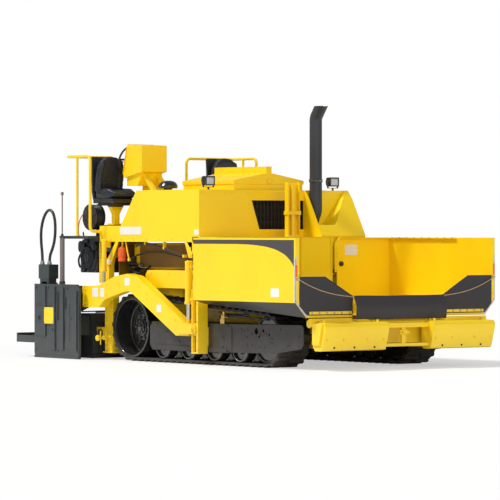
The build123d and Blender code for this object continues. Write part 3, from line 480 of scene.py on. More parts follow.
def blend_colour(tree, factor, first, second):
    """Mix two colours, given as sockets or values."""
    node = put(tree, "Mix")
    node.data_type = "RGBA"
    for index, value in ((0, factor), (6, first), (7, second)):
        feed(tree, (*value, 1) if isinstance(value, tuple) else value, node.inputs[index])
    return node.outputs[2]


def outer_face(tree, y):
    """A mask on the outer faces of the hopper's wings."""
    return maths(tree, "GREATER_THAN", maths(tree, "ABSOLUTE", y), WING_FACE)


def make_groups():
    """The effects that several finishes share."""
    tree, given, out = group("edge_wear", {"Radius": 0.004, "Amount": 0.5},
        [("Mask", "NodeSocketFloat")])
    bevel = put(tree, "Bevel", Radius=given["Radius"])
    bevel.samples = 4
    dot = put(tree, "VectorMath")
    dot.operation = "DOT_PRODUCT"
    link(tree, bevel.outputs[0], dot.inputs[0])
    link(tree, put(tree, "NewGeometry").outputs["Normal"], dot.inputs[1])
    turn = maths(tree, "SUBTRACT", 1.0, dot.outputs["Value"])
    edge = times(tree, times(tree, turn, 5.0), times(tree, noise(tree, 14, 4, 0.6), 1.6), clamp=True)
    link(tree, times(tree, edge, given["Amount"], clamp=True), out["Mask"])

    tree, given, out = group("low_dust", {"Top": 0.8, "Amount": 0.3}, [("Mask", "NodeSocketFloat")])
    depth = maths(tree, "DIVIDE", object_axes(tree)[2], given["Top"])
    fall = maths(tree, "SUBTRACT", 1.0, depth, clamp=True)
    cloud = times(tree, noise(tree, 5, 5, 0.6), noise(tree, 38, 2, 0.5))
    mask = times(tree, times(tree, cloud, 3.2), fall, clamp=True)
    link(tree, times(tree, mask, given["Amount"], clamp=True), out["Mask"])

    tree, given, out = group("colour_drift", {"Colour": (1, 1, 1, 1), "Second": (0.8, 0.8, 0.8, 1),
        "Scale": 1.0}, [("Colour", "NodeSocketColor")])
    cloud = noise(tree, given["Scale"], 3, 0.5)
    soft = times(tree, maths(tree, "SUBTRACT", cloud, 0.42), 2.2, clamp=True)
    link(tree, blend_colour(tree, soft, given["Colour"], given["Second"]), out["Colour"])

    tree, given, out = group("grain", {"Scale": 300.0, "Coarse": 0.3}, [("Height", "NodeSocketFloat")])
    fine = noise(tree, given["Scale"], 2, 0.5)
    wide = noise(tree, times(tree, given["Scale"], 0.12), 2, 0.5)
    link(tree, maths(tree, "ADD", fine, times(tree, wide, given["Coarse"])), out["Height"])

    tree, given, out = group("panel_mark", {"Along": 0.0, "Up": 0.0, "Half Along": 0.1, "Half Up": 0.1},
        [("Mask", "NodeSocketFloat")])
    x, y, z = object_axes(tree)
    inside = []
    for axis, middle in ((x, "Along"), (z, "Up")):
        away = maths(tree, "ABSOLUTE", maths(tree, "SUBTRACT", axis, given[middle]))
        inside.append(maths(tree, "LESS_THAN", away, given["Half " + middle]))
    link(tree, times(tree, times(tree, *inside), outer_face(tree, y)), out["Mask"])


def placed_group(tree, name, **values):
    """A shared effect placed in a material with its own values."""
    node = put(tree, "Group")
    node.node_tree = bpy.data.node_groups[name]
    for socket, value in values.items():
        feed(tree, value, node.inputs[socket.replace("_", " ")])
    return node.outputs[0]


def finish(name, colour, roughness, grain, bump, second=None, metallic=0.0, coat=0.0, coarse=0.3,
           wear=None, dust=0.0, top=0.9, drift=1.3, spread=0.12, edge=None, rounded=True):
    """A painted, cast, moulded or rubber finish."""
    settings = bpy.context.scene.paver_finish
    edge = edge or settings.edge
    material = bpy.data.materials.new(name)
    material.use_nodes = True
    tree = material.node_tree
    second = second or tuple(c * 0.82 for c in colour)
    shade = placed_group(tree, "colour_drift", Colour=(*colour, 1), Second=(*second, 1), Scale=drift)
    rough = maths(tree, "ADD", roughness - spread / 2, times(tree, noise(tree, 9, 4, 0.6), spread))
    if wear:
        mask = placed_group(tree, "edge_wear", Radius=edge, Amount=settings.wear)
        shade = blend_colour(tree, mask, shade, wear)
    if dust:
        mask = placed_group(tree, "low_dust", Top=top, Amount=dust * settings.dust)
        shade = blend_colour(tree, mask, shade, DUST_COLOUR)
        rough = maths(tree, "ADD", rough, times(tree, mask, 0.3), clamp=True)
    relief = put(tree, "Bump", Strength=bump, Distance=0.002,
        Height=placed_group(tree, "grain", Scale=grain, Coarse=coarse))
    if rounded:
        bevel = put(tree, "Bevel", Radius=edge)
        bevel.samples = 4
        link(tree, bevel.outputs[0], relief.inputs["Normal"])
    values = {"Base Color": shade, "Roughness": rough, "Metallic": metallic, "Coat Weight": coat,
        "Coat Roughness": 0.12, "Normal": relief.outputs[0]}
    for socket, value in values.items():
        feed(tree, value, tree.nodes["Principled BSDF"].inputs[socket])
    FINISHES[name] = material
    return material


def source(shader, name):
    """The socket that feeds one of a shader's inputs."""
    return shader.inputs[name].links[0].from_socket


WING_FACE = 1.6485
WING_TAIL, WING_NOSE = 1.93, 4.12
BAND_FOOT = (
    (1.93, 1.600), (2.60, 1.600), (3.05, 1.597), (3.35, 1.583), (3.62, 1.553), (3.84, 1.500),
    (4.00, 1.424), (4.12, 1.31),
)
DUST_COLOUR = (0.30, 0.27, 0.23)
LABEL_COLOUR = (0.82, 0.84, 0.83)
# Near black: painted shade for the wings' faces that look down.
PAINTED_UNDERSIDE_SHADE = (0.012, 0.010, 0.009)


def striped_yellow():
    """Yellow for the hopper wings, with a dark band along the outside, a blank plate, and painted shade
    on the low faces that look down.
    """
    paint = bpy.context.scene.paver_paint
    material = finish("wing_yellow", tuple(paint.yellow), 0.42, 420, 0.03,
        second=tuple(paint.deep_yellow), coat=bpy.context.scene.paver_finish.gloss,
        wear=(1.0, 0.78, 0.12), dust=0.5)
    tree = material.node_tree
    shader = tree.nodes["Principled BSDF"]
    x, y, z = object_axes(tree)
    rear, front = WING_TAIL + AXLE_X, WING_NOSE + AXLE_X
    curve = put(tree, "FloatCurve", Value=maths(tree, "DIVIDE", maths(tree, "SUBTRACT", x, rear),
        front - rear))
    line = curve.mapping.curves[0]
    for index, (along, up) in enumerate(BAND_FOOT):
        point = ((along + AXLE_X - rear) / (front - rear), (up - 1.2) / 0.5)
        if index < 2:
            line.points[index].location = point
        else:
            line.points.new(*point)
    curve.mapping.update()
    edge_z = maths(tree, "ADD", times(tree, curve.outputs[0], 0.5), 1.2)
    height = times(tree, maths(tree, "GREATER_THAN", z, edge_z), maths(tree, "LESS_THAN", z, 1.655))
    length = times(tree, maths(tree, "LESS_THAN", x, front), outer_face(tree, y))
    shade = blend_colour(tree, times(tree, height, length), source(shader, "Base Color"),
        tuple(paint.stripe))
    tag = placed_group(tree, "panel_mark", Along=3.72 + AXLE_X, Up=0.985, Half_Along=0.085,
        Half_Up=0.055)
    shade = blend_colour(tree, tag, shade, LABEL_COLOUR)
    # Painted shade: faces that look down, low on the wings, turn near black.
    level = put(tree, "SeparateXYZ", Vector=put(tree, "NewGeometry").outputs["True Normal"])
    under = maths(tree, "LESS_THAN", level.outputs["Z"], -0.6)
    shade = blend_colour(tree, times(tree, under, maths(tree, "LESS_THAN", z, 0.9)), shade,
        PAINTED_UNDERSIDE_SHADE)
    link(tree, shade, shader.inputs["Base Color"])


def parted(name, base, colour, roughness, metallic, test):
    """A finish that turns into another wherever a mask made by a test is on."""
    material = FINISHES[base].copy()
    material.name = name
    tree = material.node_tree
    shader = tree.nodes["Principled BSDF"]
    mask = test(tree, *object_axes(tree))
    rough = source(shader, "Roughness")
    change = times(tree, maths(tree, "SUBTRACT", roughness, rough), mask)
    link(tree, blend_colour(tree, mask, source(shader, "Base Color"), colour),
        shader.inputs["Base Color"])
    link(tree, maths(tree, "ADD", rough, change), shader.inputs["Roughness"])
    link(tree, times(tree, mask, metallic), shader.inputs["Metallic"])
    FINISHES[name] = material


def higher(level):
    """A mask above a height in millimetres."""
    return lambda tree, x, y, z: maths(tree, "GREATER_THAN", z, level / 1000)


def round_bar(x, y, radius):
    """A mask about an upright bar on each side of the machine."""
    def test(tree, px, py, pz):
        along = maths(tree, "ABSOLUTE", maths(tree, "SUBTRACT", px, x / 1000 + AXLE_X))
        across = maths(tree, "ABSOLUTE", maths(tree, "SUBTRACT", maths(tree, "ABSOLUTE", py), y / 1000))
        inside = times(tree,
            *(maths(tree, "LESS_THAN", away, radius / 1000) for away in (along, across)))
        return times(tree, inside, maths(tree, "GREATER_THAN", pz, 0.6))
    return test


def tread_plate():
    """Dark walkway plate with raised lozenges."""
    material = finish("walkway", tuple(bpy.context.scene.paver_paint.charcoal), 0.6, 120, 0.25,
        wear=(0.16, 0.16, 0.16), dust=0.8)
    tree = material.node_tree
    shader = tree.nodes["Principled BSDF"]
    place = put(tree, "TexCoord").outputs["Object"]
    heights = []
    for turn in (0.785, -0.785):
        mapping = put(tree, "Mapping", Vector=place, Rotation=(0, 0, turn), Scale=(14, 34, 14))
        cells = put(tree, "TexVoronoi", Vector=mapping.outputs[0], Scale=1, Randomness=0)
        heights.append(maths(tree, "LESS_THAN", cells.outputs["Distance"], 0.32))
    relief = put(tree, "Bump", Strength=0.5, Distance=0.003, Normal=source(shader, "Normal"),
        Height=maths(tree, "MAXIMUM", *heights))
    link(tree, relief.outputs[0], shader.inputs["Normal"])


def make_finishes():
    """Every finish on the machine."""
    paint = bpy.context.scene.paver_paint
    shine = bpy.context.scene.paver_finish.gloss
    make_groups()
    finish("yellow", tuple(paint.yellow), 0.42, 420, 0.03, second=tuple(paint.deep_yellow), coat=shine,
        wear=(1.0, 0.8, 0.15), dust=0.5)
    striped_yellow()
    finish("charcoal", tuple(paint.charcoal), 0.48, 260, 0.08, coat=0.15, wear=(0.09, 0.11, 0.12),
        dust=0.45, top=1.3)
    finish("guard", tuple(paint.guard), 0.5, 240, 0.1, coat=0.1, wear=(0.1, 0.1, 0.1), dust=0.4)
    finish("tread", (0.015, 0.014, 0.014), 0.7, 160, 0.3, coarse=0.6, wear=(0.06, 0.056, 0.054),
        dust=0.6, top=0.6, edge=0.01)
    finish("flap", tuple(paint.rubber), 0.62, 220, 0.12, wear=(0.1, 0.09, 0.09), dust=0.5)
    finish("gloss_black", (0.008, 0.009, 0.01), 0.2, 200, 0.03, coat=0.7, wear=(0.06, 0.06, 0.06),
        dust=0.25)
    finish("plastic", (0.018, 0.019, 0.021), 0.5, 500, 0.12, rounded=False)
    finish("exhaust_black", (0.036, 0.038, 0.046), 0.52, 180, 0.06, second=(0.024, 0.025, 0.03),
        drift=2.5)
    finish("soot", (0.006, 0.006, 0.006), 0.9, 120, 0.2)
    finish("steel", (0.36, 0.35, 0.34), 0.38, 300, 0.08, metallic=1.0)
    finish("chrome", (0.62, 0.63, 0.65), 0.12, 500, 0.01, second=(0.5, 0.5, 0.52), metallic=1.0,
        spread=0.04)
    finish("zinc", (0.52, 0.5, 0.42), 0.34, 300, 0.06, second=(0.42, 0.4, 0.33), metallic=0.9)
    finish("brass", (0.72, 0.5, 0.14), 0.3, 300, 0.04, metallic=0.9)
    finish("rope", (0.5, 0.36, 0.2), 0.85, 900, 0.5, second=(0.34, 0.22, 0.1), drift=30, rounded=False)
    finish("hose", (0.02, 0.021, 0.023), 0.42, 420, 0.05, drift=6, rounded=False)
    finish("vinyl", tuple(paint.vinyl), 0.42, 650, 0.16, coarse=0.5, drift=5, rounded=False)
    finish("red", (0.8, 0.06, 0.012), 0.35, 300, 0.05, rounded=False)
    finish("orange", (0.95, 0.13, 0.015), 0.32, 300, 0.04, rounded=False)
    finish("white_plate", (0.8, 0.81, 0.8), 0.4, 200, 0.02, second=(0.74, 0.74, 0.73), rounded=False)
    finish("dark_plate", (0.05, 0.05, 0.06), 0.35, 200, 0.02, rounded=False)
    finish("lens", (0.62, 0.68, 0.7), 0.15, 120, 0.05, second=(0.45, 0.5, 0.53), coat=1.0,
        rounded=False)
    finish("mesh_dark", (0.01, 0.009, 0.009), 0.6, 300, 0.1)
    finish("weathered", (0.12, 0.102, 0.09), 0.6, 160, 0.2, second=(0.066, 0.054, 0.048), metallic=0.5)
    finish("tar_brown", (0.055, 0.04, 0.032), 0.7, 120, 0.3)
    finish("pipe_grey", (0.2, 0.17, 0.17), 0.42, 220, 0.06, second=(0.13, 0.11, 0.11),
        wear=(0.5, 0.46, 0.44))
    finish("worn_edge", (0.62, 0.6, 0.52), 0.5, 160, 0.12, second=(0.5, 0.46, 0.34), drift=12)
    finish("deep_yellow", (0.82, 0.42, 0.0), 0.5, 300, 0.05, second=(0.7, 0.34, 0.0))
    # Machine yellow darkened to brown: painted shade for surfaces deep in the recess, not a paint of
    # its own.
    finish("recess_painted_shade", (0.21, 0.112, 0.0028), 0.6, 200, 0.08, second=(0.12, 0.06, 0.0024),
        drift=2.5)
    finish("reel_brown", (0.03, 0.02, 0.014), 0.5, 260, 0.1)
    parted("seat_yellow", "yellow", (0.016, 0.017, 0.019), 0.5, 0.0, higher(2100))
    parted("carriage", "yellow", (0.60, 0.61, 0.63), 0.12, 1.0, round_bar(1530, 1425, 31))
    tread_plate()


CAD_FINISHES = {
    "yellow": [
        "tow_guides", "tow_arms", "cylinder_barrels", "push_bumper", "hood", "nose_cover",
        "engine_lid", "front_tank", "hopper_back", "gate_post", "side_tanks", "platform", "handrails",
        "console", "main_frame", "fenders", "flap_carrier", "rear_frame",
    ],
    "wing_yellow": ["hopper_wing_left", "hopper_wing_right"],
    "charcoal": [
        "screed_main", "screed_extension_left", "screed_extension_right", "end_gate_left",
        "end_gate_right", "generator", "auger_case",
    ],
    "guard": ["track_guards", "track_frames", "final_drives"],
    "tread": ["track_belt_left", "track_belt_right"],
    "gloss_black": ["drive_wheels", "idlers", "road_rollers", "intake_cap", "work_lamps"],
    "reel_brown": ["hose_reel"],
    "plastic": ["steering_wheel", "floor_mat"],
    "flap": ["wing_flap_left", "wing_flap_right", "centre_flap"],
    "exhaust_black": ["exhaust"],
    "mesh_dark": ["grille", "engine_block"],
    "weathered": ["conveyor", "auger_left", "auger_right"],
    "pipe_grey": ["depth_screws"],
    "seat_yellow": ["seat_frames"],
    "carriage": ["tow_carriages"],
    "walkway": ["rear_shelf"],
    "chrome": ["lift_rods"],
    "rope": ["flap_rope_left", "flap_rope_right"],
    "hose": ["screed_hose_left", "screed_hose_right"],
    "vinyl": ["seat_pads"],
}


class PAVER_OT_finishes(bpy.types.Operator):
    """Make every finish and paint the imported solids"""

    bl_idname = "paver.finishes"
    bl_label = "Finishes"

    def execute(self, context):
        make_finishes()
        for finish_name, nodes in CAD_FINISHES.items():
            for node in nodes:
                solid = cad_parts[node]
                solid.data.materials.clear()
                solid.data.materials.append(FINISHES[finish_name])
        bare = set(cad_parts) - {node for nodes in CAD_FINISHES.values() for node in nodes}
        if bare:
            raise ValueError("no finish for " + ", ".join(sorted(bare)))
        return {"FINISHED"}


# ---- Ropes and hoses --------------------------------------------------------
ROPE_X, HOSE_Y = 4168, 1515
ROPE_SAG = (
    (1610.7, 1158), (1545, 1125), (1480, 1094), (1410, 1066), (1340, 1040), (1265, 1016),
    (1190, 995), (1110, 977), (1030, 962), (950, 951), (865, 941), (773.3, 933),
)
HOSE_LOOP = (
    (-1870, 1300), (-1870, 1430), (-1900, 1580), (-1910, 1750), (-1870, 1900), (-1790, 2020),
    (-1690, 2070), (-1600, 2030), (-1550, 1920), (-1540, 1770), (-1565, 1620), (-1620, 1510),
    (-1690, 1410), (-1690, 1300),
)


def rope_and_hose():
    """One side's flap rope and screed hose."""
    sizes = bpy.context.scene.paver_fittings
    sag = [(ROPE_X, y, z) for y, z in ROPE_SAG]
    rope = run("rope" + Hand.word, sag, sizes.rope * 500)
    dress(rope, "hopper", "rope")
    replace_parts(rope, "flap_rope" + Hand.word)
    loop = [(x, HOSE_Y, z) for x, z in HOSE_LOOP]
    hose = run("hose" + Hand.word, loop, sizes.hose * 500, sides=6)
    dress(hose, "extension_body", "hose")
    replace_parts(hose, "screed_hose" + Hand.word)


class PAVER_OT_ropes(bpy.types.Operator):
    """Hang the flap ropes and the screed hoses"""

    bl_idname = "paver.ropes"
    bl_label = "Ropes and hoses"

    def execute(self, context):
        both_sides(rope_and_hose)
        return {"FINISHED"}


# ---- Seats ------------------------------------------------------------------
SEWN_WIDTH = 0.0055
SWELL_FRAMES = 16
VOXEL = 0.011


def pad(x, z, half, lean):
    """A seat pad's starting form: a box divided and crowned, leaning back by an angle."""
    clear()
    piece = cube(spot(min(x), -half, min(z)), spot(max(x), half, max(z)))
    edit(piece)
    bpy.ops.mesh.subdivide(number_cuts=3, smoothness=0)
    bpy.ops.transform.rotate(value=-lean, orient_axis="Y",
        center_override=spot((x[0] + x[1]) / 2, 0, min(z)))
    bpy.ops.object.mode_set(mode="OBJECT")
    return piece


def swell(piece, cap):
    """Blow a pad up gently, with a limit on how far a point may move."""
    start = [vertex.co.copy() for vertex in piece.data.vertices]
    cloth = piece.modifiers.new("swell", "CLOTH")
    cloth.settings.use_pressure = True
    cloth.settings.uniform_pressure_force = bpy.context.scene.paver_fittings.swell
    cloth.settings.effector_weights.gravity = 0
    cloth.settings.tension_stiffness = 18
    cloth.settings.bending_stiffness = 1.5
    cloth.point_cache.frame_start = 1
    cloth.point_cache.frame_end = SWELL_FRAMES
    for step in range(1, SWELL_FRAMES + 1):
        bpy.context.scene.frame_set(step)
    only(piece)
    bpy.ops.object.modifier_apply(modifier="swell")
    bpy.context.scene.frame_set(1)
    for vertex, was in zip(piece.data.vertices, start):
        move = vertex.co - was
        if move.length > cap:
            vertex.co = was + move * (cap / move.length)


def stuffed(piece, cap):
    """Remesh a pad, swell it and relax it."""
    modify(piece, "REMESH", mode="VOXEL", voxel_size=VOXEL)
    swell(piece, cap)
    return modify(piece, "SMOOTH", factor=0.5, iterations=6)


def seam(piece, gap, depth):
    """Press a sewn channel in where a distance function is near zero."""
    for vertex in piece.data.vertices:
        away = gap(vertex.co) / SEWN_WIDTH
        if abs(away) < 3:
            vertex.co -= vertex.normal * depth * pow(2.718, -away * away)
    piece.data.update()


def seat_forms():
    """The cushion and the backrest of a seat centred on Y = 0."""
    cushion = pad((-858, -420), (2212, 2330), 228, 0)
    crown = spot(-640, 0, 2270)
    for vertex in cushion.data.vertices:
        along = (vertex.co.x - crown.x) / 0.22
        fore, aft = max(along, 0), max(-along, 0)
        across = vertex.co.y / 0.228
        vertex.co.y *= 1 - 0.16 * fore ** 2 - 0.08 * aft ** 2
        if vertex.co.z > crown.z:
            vertex.co.z += 0.020 * abs(across) ** 3 - 0.050 * fore ** 3 - 0.010 * (1 - across * across)
            vertex.co.z += 0.012 * aft
        else:
            vertex.co.z += 0.045 * fore ** 2
    stuffed(cushion, 0.016)
    back = pad((-900, -815), (2300, 2815), 226, radians(8))
    for vertex in back.data.vertices:
        up = (vertex.co.z - spot(0, 0, 2300).z) / 0.51
        across = vertex.co.y / 0.226
        vertex.co.y *= 1 - 0.34 * max(up - 0.45, 0) ** 2 * 2.2 - 0.10 * max(0.25 - up, 0)
        vertex.co.z -= 0.075 * abs(across) ** 3 * max(up, 0) ** 4
        vertex.co.x += 0.030 * abs(across) ** 3
    stuffed(back, 0.014)
    for piece in (cushion, back):
        for middle in (0.128, -0.128):
            seam(piece, lambda co: co.y - middle, 0.006)
    foot, front = spot(0, 0, 2440).z, spot(-520, 0, 0).x
    seam(back, lambda co: co.z - foot, 0.005)
    seam(cushion, lambda co: co.x - front, 0.005)
    for piece in (cushion, back):
        smooth(modify(piece, "SUBSURF", levels=1, render_levels=1), 180)
    return cushion, back


def seat_shell():
    """The moulded pan and back shell behind the pads, on Y = 0."""
    shell = plate([(-905, 2196), (-935, 2300), (-1012, 2780), (-1000, 2800), (-975, 2790), (-905, 2320),
        (-880, 2214), (-430, 2210), (-430, 2196)], "y", (-215, 215), 6, 3)
    for vertex in shell.data.vertices:
        up = max(0, (vertex.co.z - spot(0, 0, 2300).z) / 0.5)
        if abs(vertex.co.y) > 0.1:
            vertex.co.y *= 1 - 0.22 * up * up
    rib = plate([(-1022, 2420), (-1040, 2640), (-1030, 2650), (-1004, 2640), (-984, 2420)], "y",
        (-60, 60), 4, 2)
    return join("shell", [shell, rib])


class PAVER_OT_seats(bpy.types.Operator):
    """Upholster both seats"""

    bl_idname = "paver.seats"
    bl_label = "Seats"

    def execute(self, context):
        pads = dict(zip(("cushion", "backrest"), seat_forms()))
        shell = seat_shell()
        slides = [block((-870, -470), (y - 9, y + 9), (2150, 2166), 2) for y in (-120, 120)]
        slides += [bar((x, -180, 2158), (x, 180, 2158), 7) for x in (-800, -560)]
        slides.append(tube([(-520, -150, 2165), (-430, -190, 2160), (-400, -230, 2162)], 6))
        base = join("base", slides)
        for middle, word in ((-1.1, "_near"), (0.86, "_far")):
            shift = Matrix.Translation((0, middle, 0))
            for name, form in pads.items():
                made = dress(moved(form, shift, name + word), "chassis", "vinyl")
                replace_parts(made, "seat_pads")
            dress(moved(shell, shift, "shell" + word), "chassis", "plastic")
            dress(moved(base, shift, "seat_slides" + word), "chassis", "steel")
        for piece in (*pads.values(), shell, base):
            bpy.data.objects.remove(piece)
        return {"FINISHED"}


# ---- Rubber flaps -----------------------------------------------------------
MIDDLE_HANG = (
    (4192, 944), (4204, 905), (4222, 868), (4238, 832), (4247, 795), (4249, 755), (4245, 715),
    (4240, 675), (4236, 642),
)


def grid_sheet(across, up, place, thickness):
    """A sheet of rubber: a grid whose points a function places, then thickened."""
    clear()
    bpy.ops.mesh.primitive_grid_add(x_subdivisions=across, y_subdivisions=up, size=2)
    piece = named()
    for vertex in piece.data.vertices:
        vertex.co = place((vertex.co.x + 1) / 2, (vertex.co.y + 1) / 2)
    outward(piece)
    modify(piece, "SOLIDIFY", thickness=thickness / 1000, offset=0)
    return smooth(soften(piece, 1.5, 1, 60), 60)


def wing_flap_place(u, v):
    """Points of one wing's flap: flat at its bolted foot, creased towards the middle."""
    inner, knee, outer = 740, 1180, 1588
    y = inner + (outer - inner) * u
    top = 940 + (y - inner) / (knee - inner) * 250 if y < knee else 1190
    foot = 702 if y < 1470 else 702 + (y - 1470)
    slack = sin(pi * min(u * 1.25, 1)) * v
    crease = 7 * sin(9 * v + 5 * u) * max(0, 1 - u * 1.3) + 5 * sin(16 * v - 7 * u) * max(0, 0.7 - u)
    curl = 10 * max(0, 0.2 - u) / 0.2 * v
    return spot(4156 + crease * v * (1 - 0.3 * v) * 0.8 + 5 * slack + curl, y, foot + (top - foot) * v)


def centre_flap_place(u, v):
    """Points of the middle flap: hung over its brackets and belling out below."""
    reach = v * (len(MIDDLE_HANG) - 1)
    index = min(int(reach), len(MIDDLE_HANG) - 2)
    share = reach - index
    x, z = (a * (1 - share) + b * share for a, b in zip(MIDDLE_HANG[index], MIDDLE_HANG[index + 1]))
    ripple = 2.2 * sin(19 * u + 2.0) * v + 1.4 * sin(37 * u) * v * v
    ends = 5 * (abs(u - 0.5) * 2) ** 6
    return spot(x + ripple + ends * (1 - v), -746 + 1492 * u, z - 5 * sin(pi * u) * (1 - v)
        + 1.5 * sin(13 * u))


def flaps_side():
    """One wing's flap with its peg, strip and bolts."""
    flap = fit_on("hopper", "flap", "flap", grid_sheet(56, 34, wing_flap_place, 8))
    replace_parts(flap, "wing_flap" + Hand.word)
    fit_on("hopper", "zinc", "rope_peg", turned([(0, 14), (4, 14), (5, 7), (20, 7), (22, 12), (26, 12)],
        (4157, 765, 930), FORE, 20))
    fit_on("hopper", "yellow", "flap_strip", block((4163, 4169), (760, 1440), (712, 748), 2))
    fit_on("hopper", "zinc", "flap_bolts", bolts(row((4169, 800, 730), (4169, 1400, 730), 6), FORE, 10))


class PAVER_OT_flaps(bpy.types.Operator):
    """Hang the rubber flaps before the hopper"""

    bl_idname = "paver.flaps"
    bl_label = "Rubber flaps"

    def execute(self, context):
        both_sides(flaps_side)
        middle = fit("flap", "flap_middle", grid_sheet(90, 24, centre_flap_place, 12))
        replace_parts(middle, "centre_flap")
        return {"FINISHED"}


# ---- Hopper -----------------------------------------------------------------
def hopper_side():
    """One wing's bolts, marker, blank plate, worn edge, weld and hinge caps."""
    fit_on("hopper", "yellow", "flange_bolts", bolts(row((1974, 722, 1240), (1974, 722, 1530), 6), FORE,
        9))
    fit_on("hopper", "tar_brown", "knob",
        turned([(0, 34), (6, 34), (7, 20), (14, 20), (15, 30), (26, 30), (30, 22)], (1957, 800, 1325),
        FORE, 24))
    fit_on("hopper", "white_plate", "wall_plate", block((1957, 1959), (870, 1080), (1443, 1580), 0.8,
        1))
    fit_on("hopper", "orange", "edge_marker", block((4150, 4158), (1622, 1646), (1190, 1340), 2))
    fit_on("hopper", "zinc", "rope_eye", turned([(0, 18), (5, 18), (6, 9), (26, 9), (28, 15), (33, 15)],
        (4150, 1620, 1160), FORE, 20))
    fit_on("hopper", "yellow", "edge_bolts", bolts(row((4151, 1625, 950), (4151, 1625, 1590), 4), FORE,
        8))
    fit_on("hopper", "worn_edge", "worn_edge", block((4118, 4151), (1649, 1650.8), (870, 1420), 0),
        block((4149, 4151), (1634, 1650.8), (870, 1460), 0),
        plate([(1650, 862), (1650, 896), (1466, 706), (1466, 672), (1480, 672)], "x", (4149.5, 4151),
        0))
    fit_on("hopper", "yellow", "wing_weld",
        tube([(1958, 800, 846), (1958, 1100, 846), (1958, 1470, 846)], 5))
    fit_on("hopper", "yellow", "lip_bolts", bolts(row((2060, 1604, 1680), (3330, 1604, 1680), 9), UP,
        8))
    fit("steel", "hinge_caps", *[turned([(0, 30), (10, 30), (13, 24)], (x, 735, 640), (way, 0, 0), 24)
        for x, way in ((1960, -1), (4100, 1))])


class PAVER_OT_hopper(bpy.types.Operator):
    """Bolts, markers, blank plates, worn edges and welds on the hopper, and the post's guide"""

    bl_idname = "paver.hopper"
    bl_label = "Hopper fittings"

    def execute(self, context):
        both_sides(hopper_side)
        fit("yellow", "post_guide", block((1900, 1908), (-50, 150), (1180, 1676), 2),
            block((1900, 1938), (-50, -38), (1180, 1676), 2),
            block((1900, 1938), (138, 150), (1180, 1676), 2),
            block((1900, 1938), (-50, 150), (1180, 1200), 2),
            bar((1922, 50, 1190), (1922, 50, 1676), 13))
        fit("tar_brown", "liner_seams", *[block((1928, 1930), (y - 3, y + 3), (1010, 1118), 0)
            for y in (-330, 330)])
        return {"FINISHED"}


# ---- Hood -------------------------------------------------------------------
PIPE_LEAN = (sin(radians(36.87)), 0, cos(radians(36.87)))


def lamp(y, word):
    """A square work lamp on its yoke: a finned housing with a bezel, and a lens."""
    x, z = 1455, 2436
    case = plate([(x - 52, z - 44), (x - 62, z + 10), (x - 40, z + 62), (x + 40, z + 66),
        (x + 48, z + 60), (x + 48, z - 60), (x - 20, z - 62)], "y", (y - 78, y + 78), 8, 3)
    select_faces(case, lambda centre, normal: normal.x > 0.95)
    bpy.ops.mesh.inset(thickness=0.012)
    bpy.ops.mesh.extrude_region_move(TRANSFORM_OT_translate={"value": (-0.014, 0, 0)})
    bpy.ops.object.mode_set(mode="OBJECT")
    fins = [block((x - 66, x - 40), (y + s - 3, y + s + 3), (z - 40, z + 50), 1)
        for s in range(-60, 61, 20)]
    yoke = [block((1440, 1470), (y + s - 4, y + s + 4), (2352, 2440), 2) for s in (-84, 84)]
    yoke.append(block((1440, 1470), (y - 86, y + 86), (2350, 2358), 2))
    yoke.append(bar((x, y, 2318), (x, y, 2354), 14))
    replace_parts(fit("gloss_black", "lamp_case" + word, case, *fins, *yoke), "work_lamps")
    glass = block((x + 30, x + 37), (y - 64, y + 64), (z - 47, z + 50), 2)
    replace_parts(fit("lens", "lamp" + word + "_lens", glass), "work_lamps")


class PAVER_OT_hood(bpy.types.Operator):
    """The air intake's cap, the work lamps, the lid's latch and the exhaust's fittings"""

    bl_idname = "paver.hood"
    bl_label = "Hood fittings"

    def execute(self, context):
        cap = turned([(0, 62), (20, 62), (24, 128), (34, 134), (62, 134), (70, 128), (98, 112),
            (118, 84), (128, 44), (130, 10)], (450, -1000, 2322), UP, 40)
        ribs = [bar((x, y, 2352), (x, y, 2386), 12, 8, 0) for x, y in around(16, 118, 450, -1000)]
        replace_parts(fit("gloss_black", "intake_dome", cap, *ribs), "intake_cap")
        lamp(-1050, "_near")
        lamp(1050, "_far")
        fit_on("lid", "yellow", "lid_latch", block((1400, 1418), (-16, 16), (2412, 2470), 2),
            bar((1410, -30, 2440), (1410, 30, 2440), 7),
            block((1400, 1412), (-40, -24), (2418, 2462), 2),
            block((1400, 1412), (24, 40), (2418, 2462), 2))
        fit("steel", "exhaust_clamp", turned([(0, 88), (3, 93), (20, 93), (23, 88)], (1620, 630, 2438),
            UP, 40), block((1700, 1728), (618, 642), (2440, 2460), 2),
            bar((1716, 600, 2450), (1716, 662, 2450), 5))
        fit("exhaust_black", "exhaust_flange", turned([(0, 128), (10, 128), (11, 100), (24, 98)],
            (1532, 630, 1945), FORE, 36))
        fit("soot", "exhaust_mouth", turned([(0, 78), (2, 78)], (1695, 630, 3400), PIPE_LEAN, 40))
        return {"FINISHED"}


# ---- Undercarriage ----------------------------------------------------------
DISH_RINGS = ((1279, 391, 9, 72), (1064, 330, 12, 64), (1046, 230, 10, 64))
ROLLER_COLUMNS = (720, 1310, 1900, 2470)
ROLLER_Z, ROLLER_FACE = 225, 1274
TRACK_GUARD_FACE = 1330
GUARD_BOLTS = ((2165, 376), (2165, 256), (2682, 389), (2682, 283), (2793, 432), (2970, 436),
    (3101, 439), (2793, 286), (2970, 265), (3079, 268), (3794, 417), (3794, 300), (1869, 490),
    (2570, 493), (2704, 483), (640, 500), (1180, 500), (1560, 500), (1180, 300), (3420, 500),
    (3560, 300))


